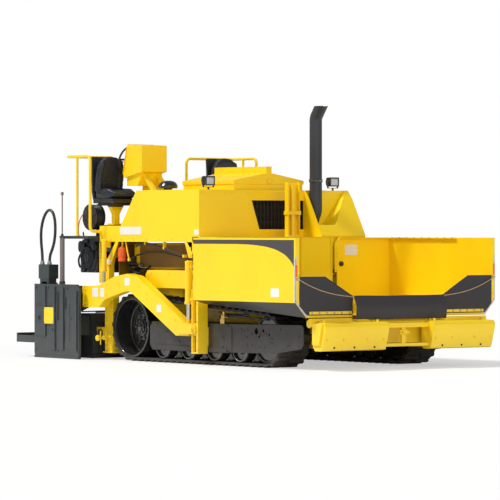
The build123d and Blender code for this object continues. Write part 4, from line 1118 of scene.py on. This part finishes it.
def tracks_side():
    """One track's wheel dish, roller rims, guard bolts, grease lines and valve."""
    hub = [turned([(0, 120), (5, 120), (8, 102), (24, 98), (28, 62), (42, 58), (47, 40)],
        (0, 1123, AXLE_Z), OUT, 48)]
    hub += [hoop((0, y, AXLE_Z), OUT, radius, tube_radius, steps) for y, radius,
        tube_radius, steps in DISH_RINGS]
    for (x, z), (rim_x, rim_z) in zip(around(10, 170, 0, AXLE_Z, 0.5), around(10, 352, 0, AXLE_Z, 0.5)):
        hub.append(bar((x, 1044, z), (rim_x, 1064, rim_z), 9, 8, 0))
    fit("gloss_black", "wheel_dish", *hub)
    ring = [(x, 1112, z) for x, z in around(10, 146, 0, AXLE_Z)]
    ring += [(x, 1149, z) for x, z in around(8, 78, 0, AXLE_Z)]
    fit("gloss_black", "wheel_bolts", bolts(ring, OUT, 13))
    rims = []
    for x in ROLLER_COLUMNS:
        rims.append(hoop((x, ROLLER_FACE, ROLLER_Z), OUT, 158, 7))
        rims.append(turned([(0, 44), (10, 44), (14, 30), (20, 28)], (x, ROLLER_FACE, ROLLER_Z), OUT,
            24))
    fit("steel", "roller_rims", *rims)
    fit("weathered", "guard_bolts", bolts([(x, TRACK_GUARD_FACE, z) for x, z in GUARD_BOLTS], OUT, 11))
    # Painted shade: thin near-black blocks on the guard stand for the dark inside of its slots.
    fit("mesh_dark", "guard_slot_shade", *[block((x - 34, x + 34), (1328, 1330.8), (z - 7, z + 7), 0)
        for x, z in ((2640, 470), (3240, 330), (3240, 380), (900, 420))])
    fit("hose", "grease_lines",
        tube([(1990, 1270, 640), (2300, 1262, 668), (2650, 1268, 640), (3050, 1262, 620)], 13),
        tube([(1960, 1240, 700), (2280, 1236, 650), (2600, 1240, 690)], 11))
    fit("brass", "track_valve", block((2110, 2180), (1282, 1322), (612, 664), 4),
        turned([(0, 15), (26, 15), (28, 22), (44, 22)], (2145, 1300, 662), UP, 16),
        bar((2180, 1300, 638), (2238, 1300, 638), 10), block((2100, 2190), (1316, 1328), (552, 616), 2))


class PAVER_OT_tracks(bpy.types.Operator):
    """Hubs, roller rims, guard bolts and the lines under the wings"""

    bl_idname = "paver.tracks"
    bl_label = "Undercarriage"

    def execute(self, context):
        both_sides(tracks_side)
        return {"FINISHED"}


# ---- Push bumper ------------------------------------------------------------
def bumper_side():
    """One half of the bumper: pins, bolts and ribs."""
    pins = []
    for y in (470, 1330):
        for x, z in ((4250, 604), (4330, 609)):
            pins.append(turned([(0, 26), (6, 26), (8, 16), (30, 16), (34, 9)], (x, y, z), UP, 20))
    pins.append(bar((4145, 1418, 595), (4145, 1432, 595), 52))
    fit("yellow", "bumper_pins", *pins)
    slope = Vector((0.961, 0, -0.276))
    fit("yellow", "bumper_bolts", bolts([(4409, y, 391) for y in (430, 700, 1080, 1350)], slope, 12))
    fit("tar_brown", "bumper_low_bolts", bolts([(4381, y, 293) for y in (560, 885, 1210)], slope, 10))
    plates = [block((4120, 4190), (y, y + 12), (330, 560), 2) for y in (560, 820)]
    plates.append(block((4176, 4200), (780, 1460), (590, 660), 3))
    fit("yellow", "bumper_ribs", *plates)


class PAVER_OT_bumper(bpy.types.Operator):
    """Bolts, pins, hook and edge plates on the push bumper"""

    bl_idname = "paver.bumper"
    bl_label = "Push bumper"

    def execute(self, context):
        both_sides(bumper_side)
        fit("yellow", "tow_hook",
            tube([(4325, -70, 470), (4390, -70, 470), (4400, -30, 470), (4390, 10, 470),
            (4325, 10, 470)], 11), block((4318, 4326), (-95, 35), (440, 500), 2))
        return {"FINISHED"}


# ---- Tow points and arms ----------------------------------------------------
ARM_BOLTS = (
    (-467, 969), (-467, 864), (-3, 1053), (18, 1001), (468, 1024), (664, 924), (664, 864), (1330, 587),
    (-820, 960), (-820, 780), (-300, 1040), (-300, 900),
)


def tow_side():
    """One side's cylinder fittings and hoses, guide bolts, tow pin and arm trim."""
    x, y = 1530, 1425
    fit("yellow", "cylinder_ends", turned([(0, 34), (2, 58), (30, 58), (33, 52)], (x, y, 796), UP, 32),
        turned([(0, 52), (20, 52), (26, 40), (30, 22)], (x, y, 1346), UP, 32),
        block((1560, 1606), (y - 16, y + 16), (846, 880), 3), block((1560, 1606), (y - 16, y + 16),
        (1280, 1314), 3), turned([(0, 24), (2, 42), (20, 42), (23, 36)], (-600, 1335, 1213), UP, 24),
        turned([(0, 36), (14, 36), (20, 20)], (-600, 1335, 1638), UP, 24))
    fit("zinc", "cylinder_fittings", *[bar((1604, y, z), (1640, y, z), 11, 12) for z in (863, 1297)])
    fit("hose", "cylinder_hoses",
        tube([(1636, y, 863), (1672, y, 863), (1684, 1400, 930), (1676, 1340, 1040),
        (1664, 1290, 1180)], 9),
        tube([(1636, y, 1297), (1668, y, 1297), (1680, 1400, 1330), (1672, 1330, 1300),
        (1664, 1280, 1230)], 9))
    fit("yellow", "guide_bolts",
        bolts([(1822, ARM_FACE, z) for z in (210, 330, 450, 570, 690, 810, 930)], OUT, 9))
    fit("yellow", "guide_rear_bolts", bolts([(1708, ARM_FACE, z) for z in (250, 750, 930)], OUT, 9))
    fit_on("tow_points", "yellow", "tow_pin",
        turned([(0, 32), (6, 32), (8, 20), (18, 20), (20, 30), (30, 30)], (1750, 1532, 470), OUT, 28))
    fit_on("screed", "yellow", "arm_bolts", bolts([(x, ARM_FACE, z) for x, z in ARM_BOLTS], OUT, 10))
    fit_on("screed", "yellow", "arm_trim", plate([(1330, 470), (1400, 455), (1470, 560), (1410, 610)],
        "y", (1499, 1507), 2), block((-872, -846), (1440, 1512), (724, 1012), 3),
        plate([(-852, 724), (-470, 724), (-380, 800), (-395, 812), (-480, 742), (-852, 742)], "y",
        (1499, 1512), 2))


class PAVER_OT_tow(bpy.types.Operator):
    """Cylinder glands, ports, hoses and bolts at the tow points and lift"""

    bl_idname = "paver.tow"
    bl_label = "Tow gear"

    def execute(self, context):
        both_sides(tow_side)
        return {"FINISHED"}


# ---- Screed -----------------------------------------------------------------
GATE_BOLTS = (
    (-1880, 980), (-1580, 980), (-1880, 120), (-1100, 980), (-850, 900), (-850, 120), (-1010, 560),
    (-1330, 110),
)
GATE_SLOTS = (
    (-1154, -1112, 690, 850), (-1352, -1300, 530, 925), (-1190, -1160, 225, 515),
    (-1040, -1028, 240, 760),
)


def screed_side():
    """One side's gate, catwalk, controls, burners and gas lines."""
    fit_on("extension_body", "charcoal", "gate_bolts", bolts([(x, 1610, z) for x, z in GATE_BOLTS], OUT,
        12))
    # Painted shade: thin near-black blocks on the gate stand for the dark inside of its slots.
    fit_on("extension_body", "mesh_dark", "gate_slot_shade",
        *[block((a, b), (GATE_FACE, 1610.8), (low, high), 0) for a, b, low, high in GATE_SLOTS])
    fit_on("extension_body", "charcoal", "gate_ribs", block((-1900, -1420), (GATE_FACE, 1622),
        (738, 752), 3), block((-1900, -1710), (GATE_FACE, 1618), (300, 312), 3),
        block((-1395, -1385), (GATE_FACE, 1626), (100, 1000), 3),
        block((-1220, -860), (GATE_FACE, 1616), (1000, 1018), 3), block((-820, -806), (GATE_FACE, 1620),
        (60, 930), 3), turned([(0, 34), (10, 34), (12, 20), (26, 20)], (-1820, 1610, 560), OUT, 24),
        turned([(0, 26), (14, 26), (16, 14), (30, 14)], (-1445, 1610, 398), OUT, 24))
    fit_on("extension_body", "yellow", "gate_plate", block((-1655, -1420), (GATE_FACE, 1631),
        (478, 705), 1.5, 1))
    fit_on("extension_body", "zinc", "gate_plate_bolts",
        bolts([(x, 1631, z) for x in (-1640, -1435) for z in (493, 690)], OUT, 6, False))
    fit_on("extension_body", "walkway", "catwalk_deck",
        block((-2492, -1935), (66, 1534), (223, 227), 1, 1))
    fit_on("extension_body", "charcoal", "catwalk_bars",
        *[block((x, x + 10), (70, 1530), (226, 234), 2) for x in range(-2440, -1960, 95)])
    fit_on("extension_body", "gloss_black", "side_control",
        block((-1860, -1700), (1400, 1330), (820, 1010), 6),
        bar((-1780, 1365, 560), (-1780, 1365, 825), 14))
    fit_on("extension_body", "red", "control_knobs",
        *[turned([(0, 9), (12, 9), (14, 14), (30, 14), (36, 8)], (x, 1365, 1010), UP, 16)
        for x in (-1830, -1780, -1730)])
    fit_on("extension_body", "steel", "hose_ends",
        *[turned([(0, 32), (26, 32), (28, 27), (52, 27)], (x, HOSE_Y, z), UP, 24)
        for x, z in ((-1870, 1299), (-1690, 1299))])
    x, y = -1360, 1520
    fit_on("screed", "charcoal", "screw_collars", bar((x, y, 1016), (x, y, 1070), 42),
        bar((x, y, 1674), (x, y, 1700), 40), bar((x, y, 1694), (x, y, 1726), 22, 6))
    top = []
    for y in (90, 330, 570):
        top.append(block((-1390, -1190), (y, y + 190), (618, 700), 6))
        top.append(bar((-1290, y + 95, 700), (-1290, y + 95, 742), 26))
    fit_on("screed", "charcoal", "burner_boxes", *top)
    fit_on("screed", "hose", "gas_lines",
        tube([(-1150, 60, 640), (-1150, 400, 652), (-1150, 1100, 640)], 11),
        tube([(-1420, 60, 640), (-1420, 500, 650), (-1420, 1150, 640)], 9))
    fit_on("screed", "charcoal", "arm_end_bolts",
        bolts([(x, ARM_FACE, z) for x, z in ((-930, 960), (-930, 780), (-1420, 960), (-1420, 480),
        (-1240, 360), (-1180, 840))], OUT, 13))


class PAVER_OT_screed(bpy.types.Operator):
    """Gate fittings, walkway, side controls, burners and gas lines on the screed"""

    bl_idname = "paver.screed"
    bl_label = "Screed fittings"

    def execute(self, context):
        both_sides(screed_side)
        return {"FINISHED"}


# ---- Rear of the machine ----------------------------------------------------
FAN_X, FAN_Z = -1150, 1400
REEL_X, REEL_Y, REEL_Z = -1120, -1150, 1960
AUGER_X, AUGER_Z = -558, 300


def rear_side():
    """One side's auger bearing and column bolts."""
    fit("yellow", "bearing_stub", bar((AUGER_X, 1248, AUGER_Z), (AUGER_X, 1470, AUGER_Z), 17),
        turned([(0, 36), (26, 36), (30, 22)], (AUGER_X, SIDE_FACE, AUGER_Z), OUT, 24),
        turned([(0, 30), (22, 30), (26, 20)], (AUGER_X, 1350, AUGER_Z), OUT, 24),
        turned([(0, 24), (4, 40), (34, 40), (40, 26)], (AUGER_X, 1448, AUGER_Z), OUT, 24),
        bar((AUGER_X, 1420, 205), (AUGER_X, 1420, 395), 8),
        bar((AUGER_X, 1330, 225), (AUGER_X, 1330, 375), 8))
    fit("yellow", "column_bolts",
        bolts([(x, SIDE_FACE, z) for x in (-680, -520) for z in (160, 500, 700, 1000)], OUT, 11))


def generator():
    """The generator's engine, fan, tank, boxes, hoses, muffler and bolts."""
    fan = [hoop((FAN_X, -1258, FAN_Z), OUT, radius, 4, 40, 6) for radius in (140, 112, 84)]
    middle = Vector((FAN_X, -1260, FAN_Z))
    for x, z in around(8, 140, 0, 0)[:4]:
        fan.append(bar(middle - Vector((x, 0, z)), middle + Vector((x, 0, z)), 4, 8, 0))
    fit("plastic", "fan_guard", *fan)
    engine = [block((-1370, -960), (-1210, -800), (1190, 1440), 14),
        bar((FAN_X, -1200, FAN_Z), (FAN_X, -1250, FAN_Z), 150, 48),
        bar((FAN_X, -1240, FAN_Z), (FAN_X, -1262, FAN_Z), 58, 32)]
    engine += [block((-1384, -1366), (-1200, -810), (z, z + 12), 2) for z in range(1210, 1430, 30)]
    fit("charcoal", "generator_engine", *engine)
    fit("charcoal", "fuel_tank", block((-1400, -1285), (-1230, -720), (1470, 1630), 22, 4),
        bar((-1350, -1150, 1628), (-1350, -1150, 1652), 34))
    fit("plastic", "generator_boxes", block((-1390, -1240), (-1236, -1228), (1500, 1600), 3),
        block((-1060, -905), (-1240, -1160), (1230, 1400), 8),
        bar((-990, -1250, 1560), (-990, -1165, 1560), 62),
        bar((-990, -1262, 1560), (-990, -1248, 1560), 40), block((-1290, -1180), (-1222, -1160),
        (1600, 1650), 4), bar((-1250, -1240, 1250), (-1250, -1200, 1250), 48),
        block((-1300, -900), (-420, -408), (1340, 1600), 4),
        block((-1296, -1290), (-1100, -520), (1340, 1620), 2))
    fit("gloss_black", "generator_slats", *[block((-1302, -1290), (-1090, -530), (z, z + 10), 1)
        for z in range(1350, 1620, 26)])
    fit("hose", "generator_hoses",
        tube([(-1350, -1225, 1260), (-1390, -1236, 1330), (-1330, -1246, 1440), (-1240, -1244, 1500)],
        14), tube([(-1010, -1230, 1220), (-940, -1250, 1300), (-915, -1240, 1430), (-960, -1225, 1520)],
        12),
        tube([(-1370, -1000, 1440), (-1410, -1050, 1560), (-1380, -1150, 1680), (-1330, -1190, 1750)],
        10))
    fit("weathered", "generator_muffler", bar((-1330, -705, 1330), (-1330, -435, 1330), 73),
        tube([(-1330, -440, 1330), (-1330, -400, 1330), (-1330, -390, 1380), (-1330, -390, 1450)], 18))
    fit("steel", "generator_bolts",
        bolts([(x, -1212, z) for x in (-1340, -1180, -990) for z in (1215, 1300)], NEAR, 10))


def hose_reel():
    """The reel's wound hose, rims and spokes, and the wash hose that leaves it."""
    fit("hose", "reel_windings", *[hoop((REEL_X, REEL_Y + step, REEL_Z), OUT, radius, 9, 64, 8)
        for radius, steps in ((152, range(-48, 49, 16)), (166, range(-40, 41, 16))) for step in steps])
    reel = [hoop((REEL_X, REEL_Y + step, REEL_Z), OUT, 177, 5, 72, 8) for step in (-68, 68)]
    for (x, z), (rim_x, rim_z) in zip(around(6, 50, REEL_X, REEL_Z, 0.9 / pi),
            around(6, 172, REEL_X, REEL_Z, 0.9 / pi)):
        reel.append(bar((x, -1224, z), (rim_x, -1224, rim_z), 7, 8, 0))
    reel.append(turned([(0, 54), (8, 54), (10, 34), (26, 34), (28, 16), (44, 16)],
        (REEL_X, -1221, REEL_Z), NEAR, 32))
    fit("gloss_black", "reel_rims", *reel)
    fit("red", "wash_hose",
        tube([(-1262, -1170, 2030), (-1310, -1210, 2010), (-1330, -1260, 1900), (-1320, -1280, 1780),
        (-1300, -1285, 1706)], 7))


class PAVER_OT_rear(bpy.types.Operator):
    """The generator's fittings, the reel's hose and the auger bearings"""

    bl_idname = "paver.rear"
    bl_label = "Rear fittings"

    def execute(self, context):
        generator()
        hose_reel()
        both_sides(rear_side)
        return {"FINISHED"}


# ---- Recess over the tracks -------------------------------------------------
def recess_side():
    """One side's boot, link, pipes, clips, gussets, walls and pumps; the walls and the sheet over the
    tank are painted shade.
    """
    fit("orange", "valve_boot",
        turned([(0, 34), (10, 56), (40, 60), (60, 50), (80, 60), (140, 62), (180, 56), (205, 30)],
        (-365, 1190, 1345), UP, 28))
    fit("yellow", "recess_link", bar((-262, 1205, 1616), (-180, 1205, 1375), 11),
        turned([(-12, 22), (12, 22)], (-180, 1205, 1375), OUT, 20),
        bar((-365, 1190, 1545), (-365, 1190, 1619), 12))
    fit("hose", "recess_pipes",
        tube([(-40, 1190, 1560), (90, 1190, 1592), (240, 1190, 1600), (480, 1190, 1570),
        (780, 1190, 1500), (1136, 1200, 1430)], 15, 5),
        tube([(-300, 1120, 1380), (-120, 1110, 1440), (200, 1100, 1500), (620, 1100, 1470),
        (1100, 1110, 1380)], 12),
        tube([(-420, 1130, 1400), (-330, 1080, 1300), (-200, 1060, 1330), (-60, 1050, 1290)], 13))
    clips = [block((x - 10, x + 10), (1168, 1212), (z, 1620), 2) for x, z in ((200, 1582), (640, 1520))]
    clips.append(block((1120, 1152), (1180, 1238), (1410, 1450), 3))
    fit("yellow", "recess_clips", *clips)
    fit("yellow", "frame_gussets", plate([(-815, 1621), (-440, 1621), (-640, 1385), (-800, 1385)], "y",
        (1237, 1250), 2), plate([(1240, 1621), (1488, 1621), (1488, 1380), (1450, 1380)], "y",
        (1237, 1250), 2))
    # These walls are coloured with painted shade, where the recess is dark.
    fit("recess_painted_shade", "recess_walls", block((-512, -250), (880, 900), (930, 1585), 2),
        block((-512, -490), (780, 1150), (930, 1585), 2),
        block((-470, -330), (900, 1010), (1120, 1290), 6),
        block((-300, -210), (900, 980), (1060, 1240), 6))
    fit("plastic", "recess_pumps", block((-450, -280), (905, 1080), (1310, 1420), 10),
        bar((-430, 985, 1215), (-250, 985, 1215), 46),
        tube([(-440, 1040, 1400), (-330, 1090, 1250), (-210, 1060, 1180), (-60, 1050, 1210),
        (60, 1020, 1290)], 15))
    # A thin sheet of painted shade over the side tank's outer face.
    fit("recess_painted_shade", "tank_shade", block((-200, 1480), (1009, 1011), (1270, 1580), 0))


class PAVER_OT_recess(bpy.types.Operator):
    """Lines, boot and link in the recess between the hood and the track"""

    bl_idname = "paver.recess"
    bl_label = "Recess fittings"

    def execute(self, context):
        both_sides(recess_side)
        return {"FINISHED"}


# ---- Station ----------------------------------------------------------------
CONSOLE_FOOT, CONSOLE_TOP = Vector((-560, -1050, 2560)), Vector((-470, -1050, 2930))
CONSOLE_OUT = Vector((-0.972, 0, 0.236))
CONSOLE_WIDTH = 420
COLUMN_TOP, COLUMN_WAY = Vector((-650, -840, 2755)), Vector((-0.951, 0, 0.309))


def console_face(up, across, out=0):
    """A point on the console's slanted rear face, by shares of its height and width."""
    place = CONSOLE_FOOT + (CONSOLE_TOP - CONSOLE_FOOT) * up
    return place + CONSOLE_OUT * out + Vector((0, CONSOLE_WIDTH * across, 0))


def console():
    """Dials, knobs, screens, lights, levers, bolts and trim of the console."""
    dials = [turned([(0, 24), (4, 30), (9, 30), (11, 24)], console_face(0.78, share), CONSOLE_OUT, 24)
        for share in (0.14, 0.3)]
    dials += [turned([(0, 12), (6, 12), (8, 16), (22, 14), (25, 8)], console_face(up, share),
        CONSOLE_OUT, 16) for up in (0.25, 0.5) for share in (0.12, 0.24, 0.36, 0.64, 0.76, 0.88)]
    dials.append(turned([(0, 34), (12, 34), (16, 26), (40, 24)], console_face(0.7, 0.45), CONSOLE_OUT,
        24))
    fit("plastic", "console_knobs", *dials)
    fit("lens", "console_screens",
        *[bar(console_face(0.78, 0.64 + step, 2), console_face(0.78, 0.64 + step, 6), 26, 4, 0)
        for step in (0, 0.12, 0.24)])
    fit("red", "console_lights",
        *[turned([(0, 9), (5, 9), (8, 5)], console_face(0.93, share), CONSOLE_OUT, 14)
        for share in (0.2, 0.3, 0.4, 0.6, 0.7)])
    fit("steel", "console_levers", *[bar(console_face(0.4, share), console_face(0.4, share, 120), 6)
        for share in (0.06, 0.94)])
    fit("plastic", "lever_balls",
        *[bar(console_face(0.4, share, 112), console_face(0.4, share, 142), 14)
        for share in (0.06, 0.94)])
    fit("yellow", "console_bolts",
        bolts([(x, -1050, z) for x, z in ((-490, 2640), (-460, 2800), (-410, 2910), (-140, 2900),
        (-140, 2640))], NEAR, 8))
    fit("deep_yellow", "console_trim", plate([(-558, 2562), (-534, 2562), (-446, 2925), (-470, 2928)],
        "y", (-1054, -1049), 1), block((-440, -420), (-1050, -630), (2952, 2962), 2))


class PAVER_OT_station(bpy.types.Operator):
    """Controls, rail flanges and trim at the operator's station"""

    bl_idname = "paver.station"
    bl_label = "Station"

    def execute(self, context):
        console()
        fit("yellow", "leg_feet", *[block((10, 100), (y - 42, y + 42), (2320, 2330), 3)
            for y in (-950, -730)])
        flanges = []
        for side in (1, -1):
            flanges.append(turned([(0, 42), (8, 42), (10, 26), (16, 26)],
                (-800, side * SIDE_FACE, 1760), (0, side, 0), 24))
            for x, y in ((-1390, 620), (-1120, 1420)):
                flanges.append(turned([(0, 34), (8, 34), (10, 25), (16, 25)], (x, side * y, 1700), UP,
                    24))
            flanges.append(hoop((-1120, side * 1430, 2794), UP, 18, 5, 24, 8))
        fit("yellow", "rail_flanges", *flanges)
        fit_on("steering", "plastic", "wheel_cap", turned([(0, 40), (4, 40), (8, 30), (12, 12)],
            COLUMN_TOP + COLUMN_WAY * 20, COLUMN_WAY, 28))
        fit("plastic", "mat_ribs", *[block((x, x + 6), (-1190, 1190), (1847, 1851), 1)
            for x in range(-800, -400, 22)])
        return {"FINISHED"}


# ---- Plates -----------------------------------------------------------------
SIDE_PLATES = (
    ("hood_tag", "chassis", SIDE_FACE, -330, 172, 1720, 1824, "white_plate"),
    ("corner_tag", "chassis", SIDE_FACE, 1408, 1512, 1719, 1784, "white_plate"),
    ("gusset_tag", "chassis", SIDE_FACE, -716, -545, 1482, 1585, "dark_plate"),
    ("column_tag", "chassis", SIDE_FACE, -640, -545, 1322, 1370, "white_plate"),
    ("arm_rear_tag", "screed", ARM_FACE, -640, -505, 868, 986, "white_plate"),
    ("arm_second_tag", "screed", ARM_FACE, -448, -356, 868, 986, "white_plate"),
    ("arm_crown_tag", "screed", ARM_FACE, 140, 258, 1028, 1132, "white_plate"),
    ("arm_slope_tag", "screed", ARM_FACE, 896, 1000, 684, 784, "white_plate"),
)


def plates_side():
    """One side's blank plates and panel bolts."""
    for name, body, face, rear, front, low, high, colour in SIDE_PLATES:
        fit_on(body, colour, name, block((rear, front), (face - 1, face + 1.2), (low, high), 0.5, 1))
    panel = [(x, SIDE_FACE, 1660) for x in (-780, -560, -300, 0, 300, 600, 900)]
    panel += [(x, SIDE_FACE, z) for x in (-800, -740) for z in (1340, 1450)]
    panel += [(1330, SIDE_FACE, z) for z in (1440, 1540)]
    fit("yellow", "panel_bolts", bolts(panel, OUT, 9))
    fit("yellow", "fender_bolts", bolts([(x, 1300, 1200) for x in (480, 900, 1320, 1740)], OUT, 10))


class PAVER_OT_plates(bpy.types.Operator):
    """Blank plates and the bolts of the panels"""

    bl_idname = "paver.plates"
    bl_label = "Plates"

    def execute(self, context):
        both_sides(plates_side)
        front = [(1520, y, z) for y in (-1200, -820, -450) for z in (1740, 2270)]
        front += [(1520, -1200, 2000), (1520, -700, 2280), (1520, -200, 2280), (1520, 250, 2280)]
        fit("yellow", "hood_front_bolts", bolts(front, FORE, 7))
        fit("yellow", "post_bolts",
            bolts([(1896, y, z) for y in (-44, 144) for z in (1760, 1900, 2120, 2250, 2370)], FORE, 7))
        for name, y, way in (("lid_bolts", -588, NEAR), ("lid_bolts_far", 588, OUT)):
            fit_on("lid", "yellow", name, bolts([(x, y, 2425) for x in (300, 560, 820, 1080, 1320)],
                way, 8))
        return {"FINISHED"}


# ---- Stage ------------------------------------------------------------------
CAMERA_X, CAMERA_Y, CAMERA_Z = 38.144, -27.610, 1.762
SUN_COLOUR = (1.0, 0.985, 0.95)
WHITE = (1, 1, 1, 1)


def camera_rays(tree):
    """A mask on the rays that the camera sees, straight or through glass."""
    path = put(tree, "LightPath").outputs
    return maths(tree, "MAXIMUM", path["Is Camera Ray"], path["Is Transmission Ray"])


def mix_shaders(tree, factor, first, second, end):
    """Mix two shaders into an output node's surface."""
    mix = put(tree, "MixShader")
    for index, value in enumerate((factor, first, second)):
        link(tree, value, mix.inputs[index])
    link(tree, mix.outputs[0], tree.nodes[end].inputs["Surface"])


def add_floor():
    """A pale floor that half glows to the camera."""
    clear()
    bpy.ops.mesh.primitive_plane_add(size=160, location=(0, 0, -0.001))
    floor = settle(named("floor"))
    material = bpy.data.materials.new("pale_floor")
    material.use_nodes = True
    tree = material.node_tree
    shader = tree.nodes["Principled BSDF"]
    shader.inputs["Base Color"].default_value = (0.90, 0.90, 0.90, 1)
    shader.inputs["Roughness"].default_value = 0.9
    glow = put(tree, "Emission", Strength=1.0, Color=WHITE)
    mix_shaders(tree, times(tree, camera_rays(tree), 0.5), shader.outputs[0], glow.outputs[0],
        "Material Output")
    floor.data.materials.append(material)


def add_sky(scene):
    """A soft sky that looks white to the camera."""
    scene.world = bpy.data.worlds.new("sky")
    scene.world.use_nodes = True
    tree = scene.world.node_tree
    sky = tree.nodes["Background"]
    sky.inputs["Color"].default_value = (0.93, 0.96, 1.0, 1)
    sky.inputs["Strength"].default_value = scene.paver_stage.fill
    white = put(tree, "Background", Color=WHITE, Strength=1.0)
    mix_shaders(tree, camera_rays(tree), sky.outputs[0], white.outputs[0], "World Output")


def add_sun(name, power, spread, toward):
    """A sun that shines from a direction."""
    light = bpy.data.lights.new(name, "SUN")
    light.energy = power
    light.angle = radians(spread)
    light.color = SUN_COLOUR
    sun = bpy.data.objects.new(name, light)
    bpy.context.scene.collection.objects.link(sun)
    sun.rotation_euler = Vector(toward).to_track_quat("Z", "Y").to_euler()


class PAVER_OT_stage(bpy.types.Operator):
    """Floor, light and camera"""

    bl_idname = "paver.stage"
    bl_label = "Stage"

    def execute(self, context):
        scene = context.scene
        settings = scene.paver_stage
        scene.view_settings.view_transform = "Standard"
        add_floor()
        add_sky(scene)
        add_sun("sun", settings.key, 9, (-0.30, -0.50, 0.81))
        add_sun("side_sun", settings.side, 50, (0.9, -0.3, 0.32))
        lens = bpy.data.cameras.new("camera")
        lens.sensor_width = 36
        lens.lens = settings.lens
        lens.clip_end = 500
        camera = bpy.data.objects.new("camera", lens)
        scene.collection.objects.link(camera)
        camera.location = (CAMERA_X + AXLE_X, CAMERA_Y, CAMERA_Z)
        camera.rotation_euler = (pi / 2 - settings.pitch, 0, settings.azimuth)
        scene.camera = camera
        return {"FINISHED"}


STEPS = (
    PAVER_OT_finishes, PAVER_OT_stage, PAVER_OT_ropes, PAVER_OT_seats, PAVER_OT_flaps, PAVER_OT_hopper,
    PAVER_OT_hood, PAVER_OT_tracks, PAVER_OT_bumper, PAVER_OT_tow, PAVER_OT_screed, PAVER_OT_rear,
    PAVER_OT_recess, PAVER_OT_station, PAVER_OT_plates,
)


class PAVER_PT_panel(bpy.types.Panel):
    """The paver's pieces in the sidebar"""

    bl_label = "Asphalt paver"
    bl_idname = "PAVER_PT_panel"
    bl_space_type = "VIEW_3D"
    bl_region_type = "UI"
    bl_category = "Paver"

    def draw(self, context):
        for step in STEPS:
            self.layout.operator(step.bl_idname)
        for settings in (context.scene.paver_paint, context.scene.paver_finish,
                context.scene.paver_fittings, context.scene.paver_stage):
            for setting in settings.bl_rna.properties.keys():
                if setting not in ("rna_type", "name"):
                    self.layout.prop(settings, setting)


SETTINGS = {
    "paver_paint": PaverPaint, "paver_finish": PaverFinish, "paver_fittings": PaverFittings,
    "paver_stage": PaverStage,
}


def register():
    """Register the settings, the steps and the panel."""
    for name, kind in SETTINGS.items():
        bpy.utils.register_class(kind)
        setattr(bpy.types.Scene, name, bpy.props.PointerProperty(type=kind))
    for kind in (*STEPS, PAVER_PT_panel):
        bpy.utils.register_class(kind)


def unregister():
    """Take them away again."""
    for kind in reversed((*STEPS, PAVER_PT_panel)):
        bpy.utils.unregister_class(kind)
    for name, kind in SETTINGS.items():
        delattr(bpy.types.Scene, name)
        bpy.utils.unregister_class(kind)


def main():
    """Build every piece in order."""
    register()
    for step in STEPS:
        words = step.bl_idname.split(".")
        getattr(getattr(bpy.ops, words[0]), words[1])()


if __name__ == "__main__":
    main()
